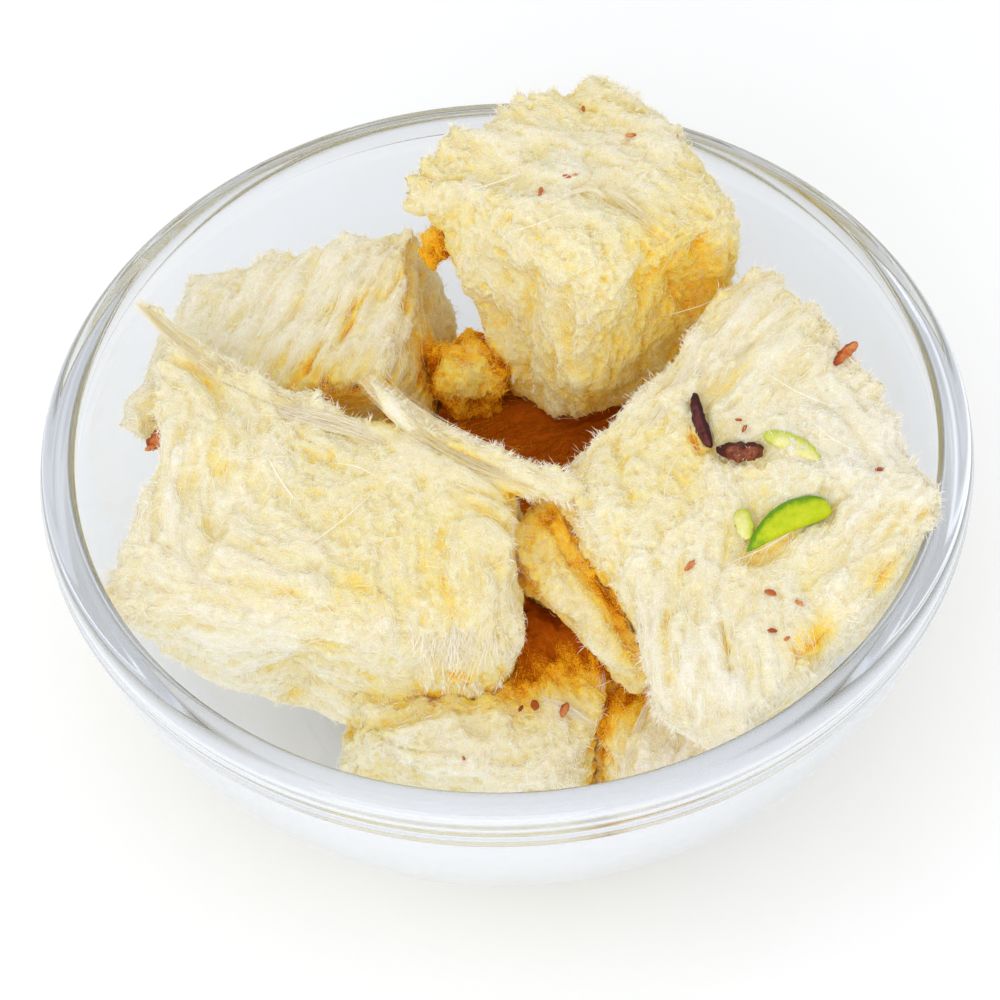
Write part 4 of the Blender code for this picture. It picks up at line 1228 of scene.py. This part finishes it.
def sliverMesh(name, look, seed):
    steps, around = 30, 20
    start, end = (np.array(p, float) for p in look["line"])
    along = unit(end - start)
    side = unit(np.cross([0, 0, 1.0], along))
    up = np.cross(along, side)
    width, height = look["size"]
    first, last = look["ends"]            # a high power gives a pointed end and a low one a blunt end
    shares = (1 - np.cos(np.linspace(0, math.pi, steps + 1))) / 2
    turns = np.arange(around) * 2 * math.pi / around
    across, upward = squared(np.cos(turns)), squared(np.sin(turns))
    verts, rim = [start[None]], [1.0]
    for share in shares[1:-1]:
        swell = (share ** first) * ((1 - share) ** last) * (1 + first / last) ** last * (1 + last / first) ** first
        middle = start + (end - start) * share + side * look["bow"] * math.sin(math.pi * share) + up * height * 0.12
        sideways, upwards = across * width / 2 * swell, upward * height / 2 * swell
        verts.append(middle + side * sideways[:, None] + up * upwards[:, None])
        rim += list(np.clip(smoothStep(0.0, 0.8, across) * 0.8 + 0.7 * max(1 - share / 0.28, 0) + 0.3, 0, 1))
    verts = np.vstack(verts + [end[None]])
    bumps = gradientNoise(verts / 1.0, seed) * 0.18 + gradientNoise(verts / 0.45, seed + 1) * 0.12
    verts = verts + unit(verts - (start + end) / 2) * (bumps * look["rough"])[:, None]
    faces = []
    lastRing = 1 + (steps - 2) * around
    for turn in range(around):
        other = (turn + 1) % around
        faces += [(0, 1 + other, 1 + turn), (len(verts) - 1, lastRing + turn, lastRing + other)]
        for ring in range(1, lastRing, around):
            a, b = ring + turn, ring + other
            faces += [(a, b, b + around), (a, b + around, a + around)]
    mesh = facedOutward(meshFrom(name, verts * mm, np.array(faces)))
    setAttributes(mesh, {"rim": np.array(rim + [0.6])})
    return mesh


for index, (name, look) in enumerate(slivers.items()):
    mesh = sliverMesh(name, look, 5 + index)
    addPiece(name, mesh, nutMaterials[look["kind"]])

# small nut crumbs of each kind: place, size
crumbs = {
    "fleck": [
        ((22.1, -22.8, 51.2), 1.1), ((47.9, -13.6, 56.3), 0.9), ((46.6, -13.2, 56.4), 0.7),
        ((31.6, -28.1, 51.9), 0.8), ((30.4, -4.6, 55.4), 0.7), ((29.8, -3.2, 55.5), 0.5),
        ((27.6, -11.2, 53.4), 0.5), ((40.8, -21.4, 54.4), 0.4), ((35.0, -30.0, 52.0), 0.7),
        ((31.4, -33.4, 51.2), 0.6), ((33.0, -34.6, 51.0), 0.5), ((6.3, 27.5, 67.1), 1.1),
        ((9.7, 30.4, 66.9), 0.9), ((11.0, 30.6, 66.8), 0.6), ((18.7, 37.9, 66.4), 0.8),
        ((24.7, 37.4, 66.2), 0.5), ((12.8, 44.4, 65.4), 0.6), ((2.0, -29.1, 31.6), 0.9),
        ((5.8, -30, 31.6), 1.3), ((0.2, -29.4, 31.4), 0.6), ((-7.4, -35.4, 29.6), 0.4),
        ((-46.4, 3.2, 48.2), 0.8),
    ],
    "redbrown": [
        ((13.6, 22.6, 66.4), 0.6), ((14.6, 21.4, 66.2), 0.5),
    ],
}


def layCrumbs():
    chooser = np.random.default_rng(29)
    ball = bmesh.new()
    bmesh.ops.create_icosphere(ball, subdivisions=2, radius=1.0)
    sphere = np.array([vert.co[:] for vert in ball.verts])
    ballFaces = np.array([[vert.index for vert in face.verts] for face in ball.faces])
    ball.free()
    for kind, rows in crumbs.items():
        verts, rim = [], []
        for place, size in rows:
            flatter, thinner = 0.35 + 0.3 * chooser.random(), 0.3 + 0.15 * chooser.random()
            stretch = np.array([1.0, flatter, thinner]) * size * 0.95
            dents = gradientNoise(sphere * 1.6, int(chooser.integers(99)))[:, None] * 0.35
            points = sphere * (1 + dents) * stretch
            turn = chooser.random() * math.pi
            spun = points.copy()
            spun[:, 0] = points[:, 0] * math.cos(turn) - points[:, 1] * math.sin(turn)
            spun[:, 1] = points[:, 0] * math.sin(turn) + points[:, 1] * math.cos(turn)
            verts.append(spun + np.array(place))
            rim.append(np.full(len(points), 0.2 + 0.5 * chooser.random()))
        faces = np.concatenate([ballFaces + index * len(sphere) for index in range(len(rows))])
        mesh = meshFrom(kind + "Crumbs", np.vstack(verts) * mm, faces)
        setAttributes(mesh, {"rim": np.concatenate(rim)})
        addPiece(kind + "Crumbs", mesh, nutMaterials[kind])


layCrumbs()
print("nuts placed")


# floor, light and camera

# sizes and places here are in metres, apart from the camera's target and distance in mm
floorLook = {"halfSize": 3.0, "colour": (0.98, 0.98, 0.98), "roughness": 0.9, "specular": 0.1}
lightLook = {
    "sky": (0.975, 0.988, 1.0), "strength": 0.86, "aim": (0, 0, 0.03),
    "lamps": {"overhead": {"place": (-0.15, 0.0, 0.8), "size": 0.8, "power": 0.8},
              "front": {"place": (-0.2, -0.75, 0.5), "size": 0.8, "power": 3.6}},
}
cameraLook = {"elevation": 51.5, "roll": -2.94, "target": (-1.1, -1.93, 40.0), "distance": 400.0,
              "focal": 3037.0, "sensor": 36.0, "pixels": 1000.0, "nearest": 0.01}
rayLook = {"use_denoising": True, "max_bounces": 20, "diffuse_bounces": 12, "glossy_bounces": 12,
           "transmission_bounces": 16, "transparent_max_bounces": 32}


def buildFloor(look):
    size = look["halfSize"]
    work = bmesh.new()
    corners = ((-1, -1), (1, -1), (1, 1), (-1, 1))
    work.faces.new([work.verts.new((x * size, y * size, 0.0)) for x, y in corners])
    mesh = bpy.data.meshes.new("floor")
    work.to_mesh(mesh)
    work.free()
    mesh.materials.append(newMaterial("whiteTable", {
        "Base Color": (*look["colour"], 1), "Roughness": look["roughness"],
        "Specular IOR Level": look["specular"]})[0])
    thing = link(bpy.data.objects.new("floor", mesh))


def buildLight(look):
    world = bpy.data.worlds.new("studio")
    scene.world = world
    world.use_nodes = True
    back = world.node_tree.nodes["Background"]
    back.inputs["Color"].default_value = (*look["sky"], 1)
    back.inputs["Strength"].default_value = look["strength"]
    for name, row in look["lamps"].items():
        lamp = bpy.data.lights.new(name, "AREA")
        lamp.size = row["size"]
        lamp.energy = row["power"]
        thing = link(bpy.data.objects.new(name, lamp))
        thing.location = row["place"]
        aim = Vector(look["aim"]) - Vector(row["place"])
        thing.rotation_euler = aim.to_track_quat("-Z", "Y").to_euler()


def buildCamera(look):
    tilt, roll = math.radians(look["elevation"]), math.radians(look["roll"])
    back = Vector((0, -math.cos(tilt), math.sin(tilt)))
    right, up = Vector((1, 0, 0)), Vector((0, math.sin(tilt), math.cos(tilt)))
    rightTurned = right * math.cos(roll) + up * math.sin(roll)
    upTurned = -right * math.sin(roll) + up * math.cos(roll)
    data = bpy.data.cameras.new("camera")
    data.sensor_width = data.sensor_height = look["sensor"]
    data.lens = look["focal"] * look["sensor"] / look["pixels"]
    data.clip_start = look["nearest"]
    thing = link(bpy.data.objects.new("camera", data))
    thing.matrix_world = Matrix((rightTurned, upTurned, back)).transposed().to_4x4()
    thing.location = Vector(look["target"]) * mm + back * look["distance"] * mm
    scene.camera = thing


buildFloor(floorLook)
buildLight(lightLook)
buildCamera(cameraLook)
scene.view_settings.view_transform = "Standard"
for key, value in rayLook.items():
    setattr(scene.cycles, key, value)
print("floor, light and camera placed")
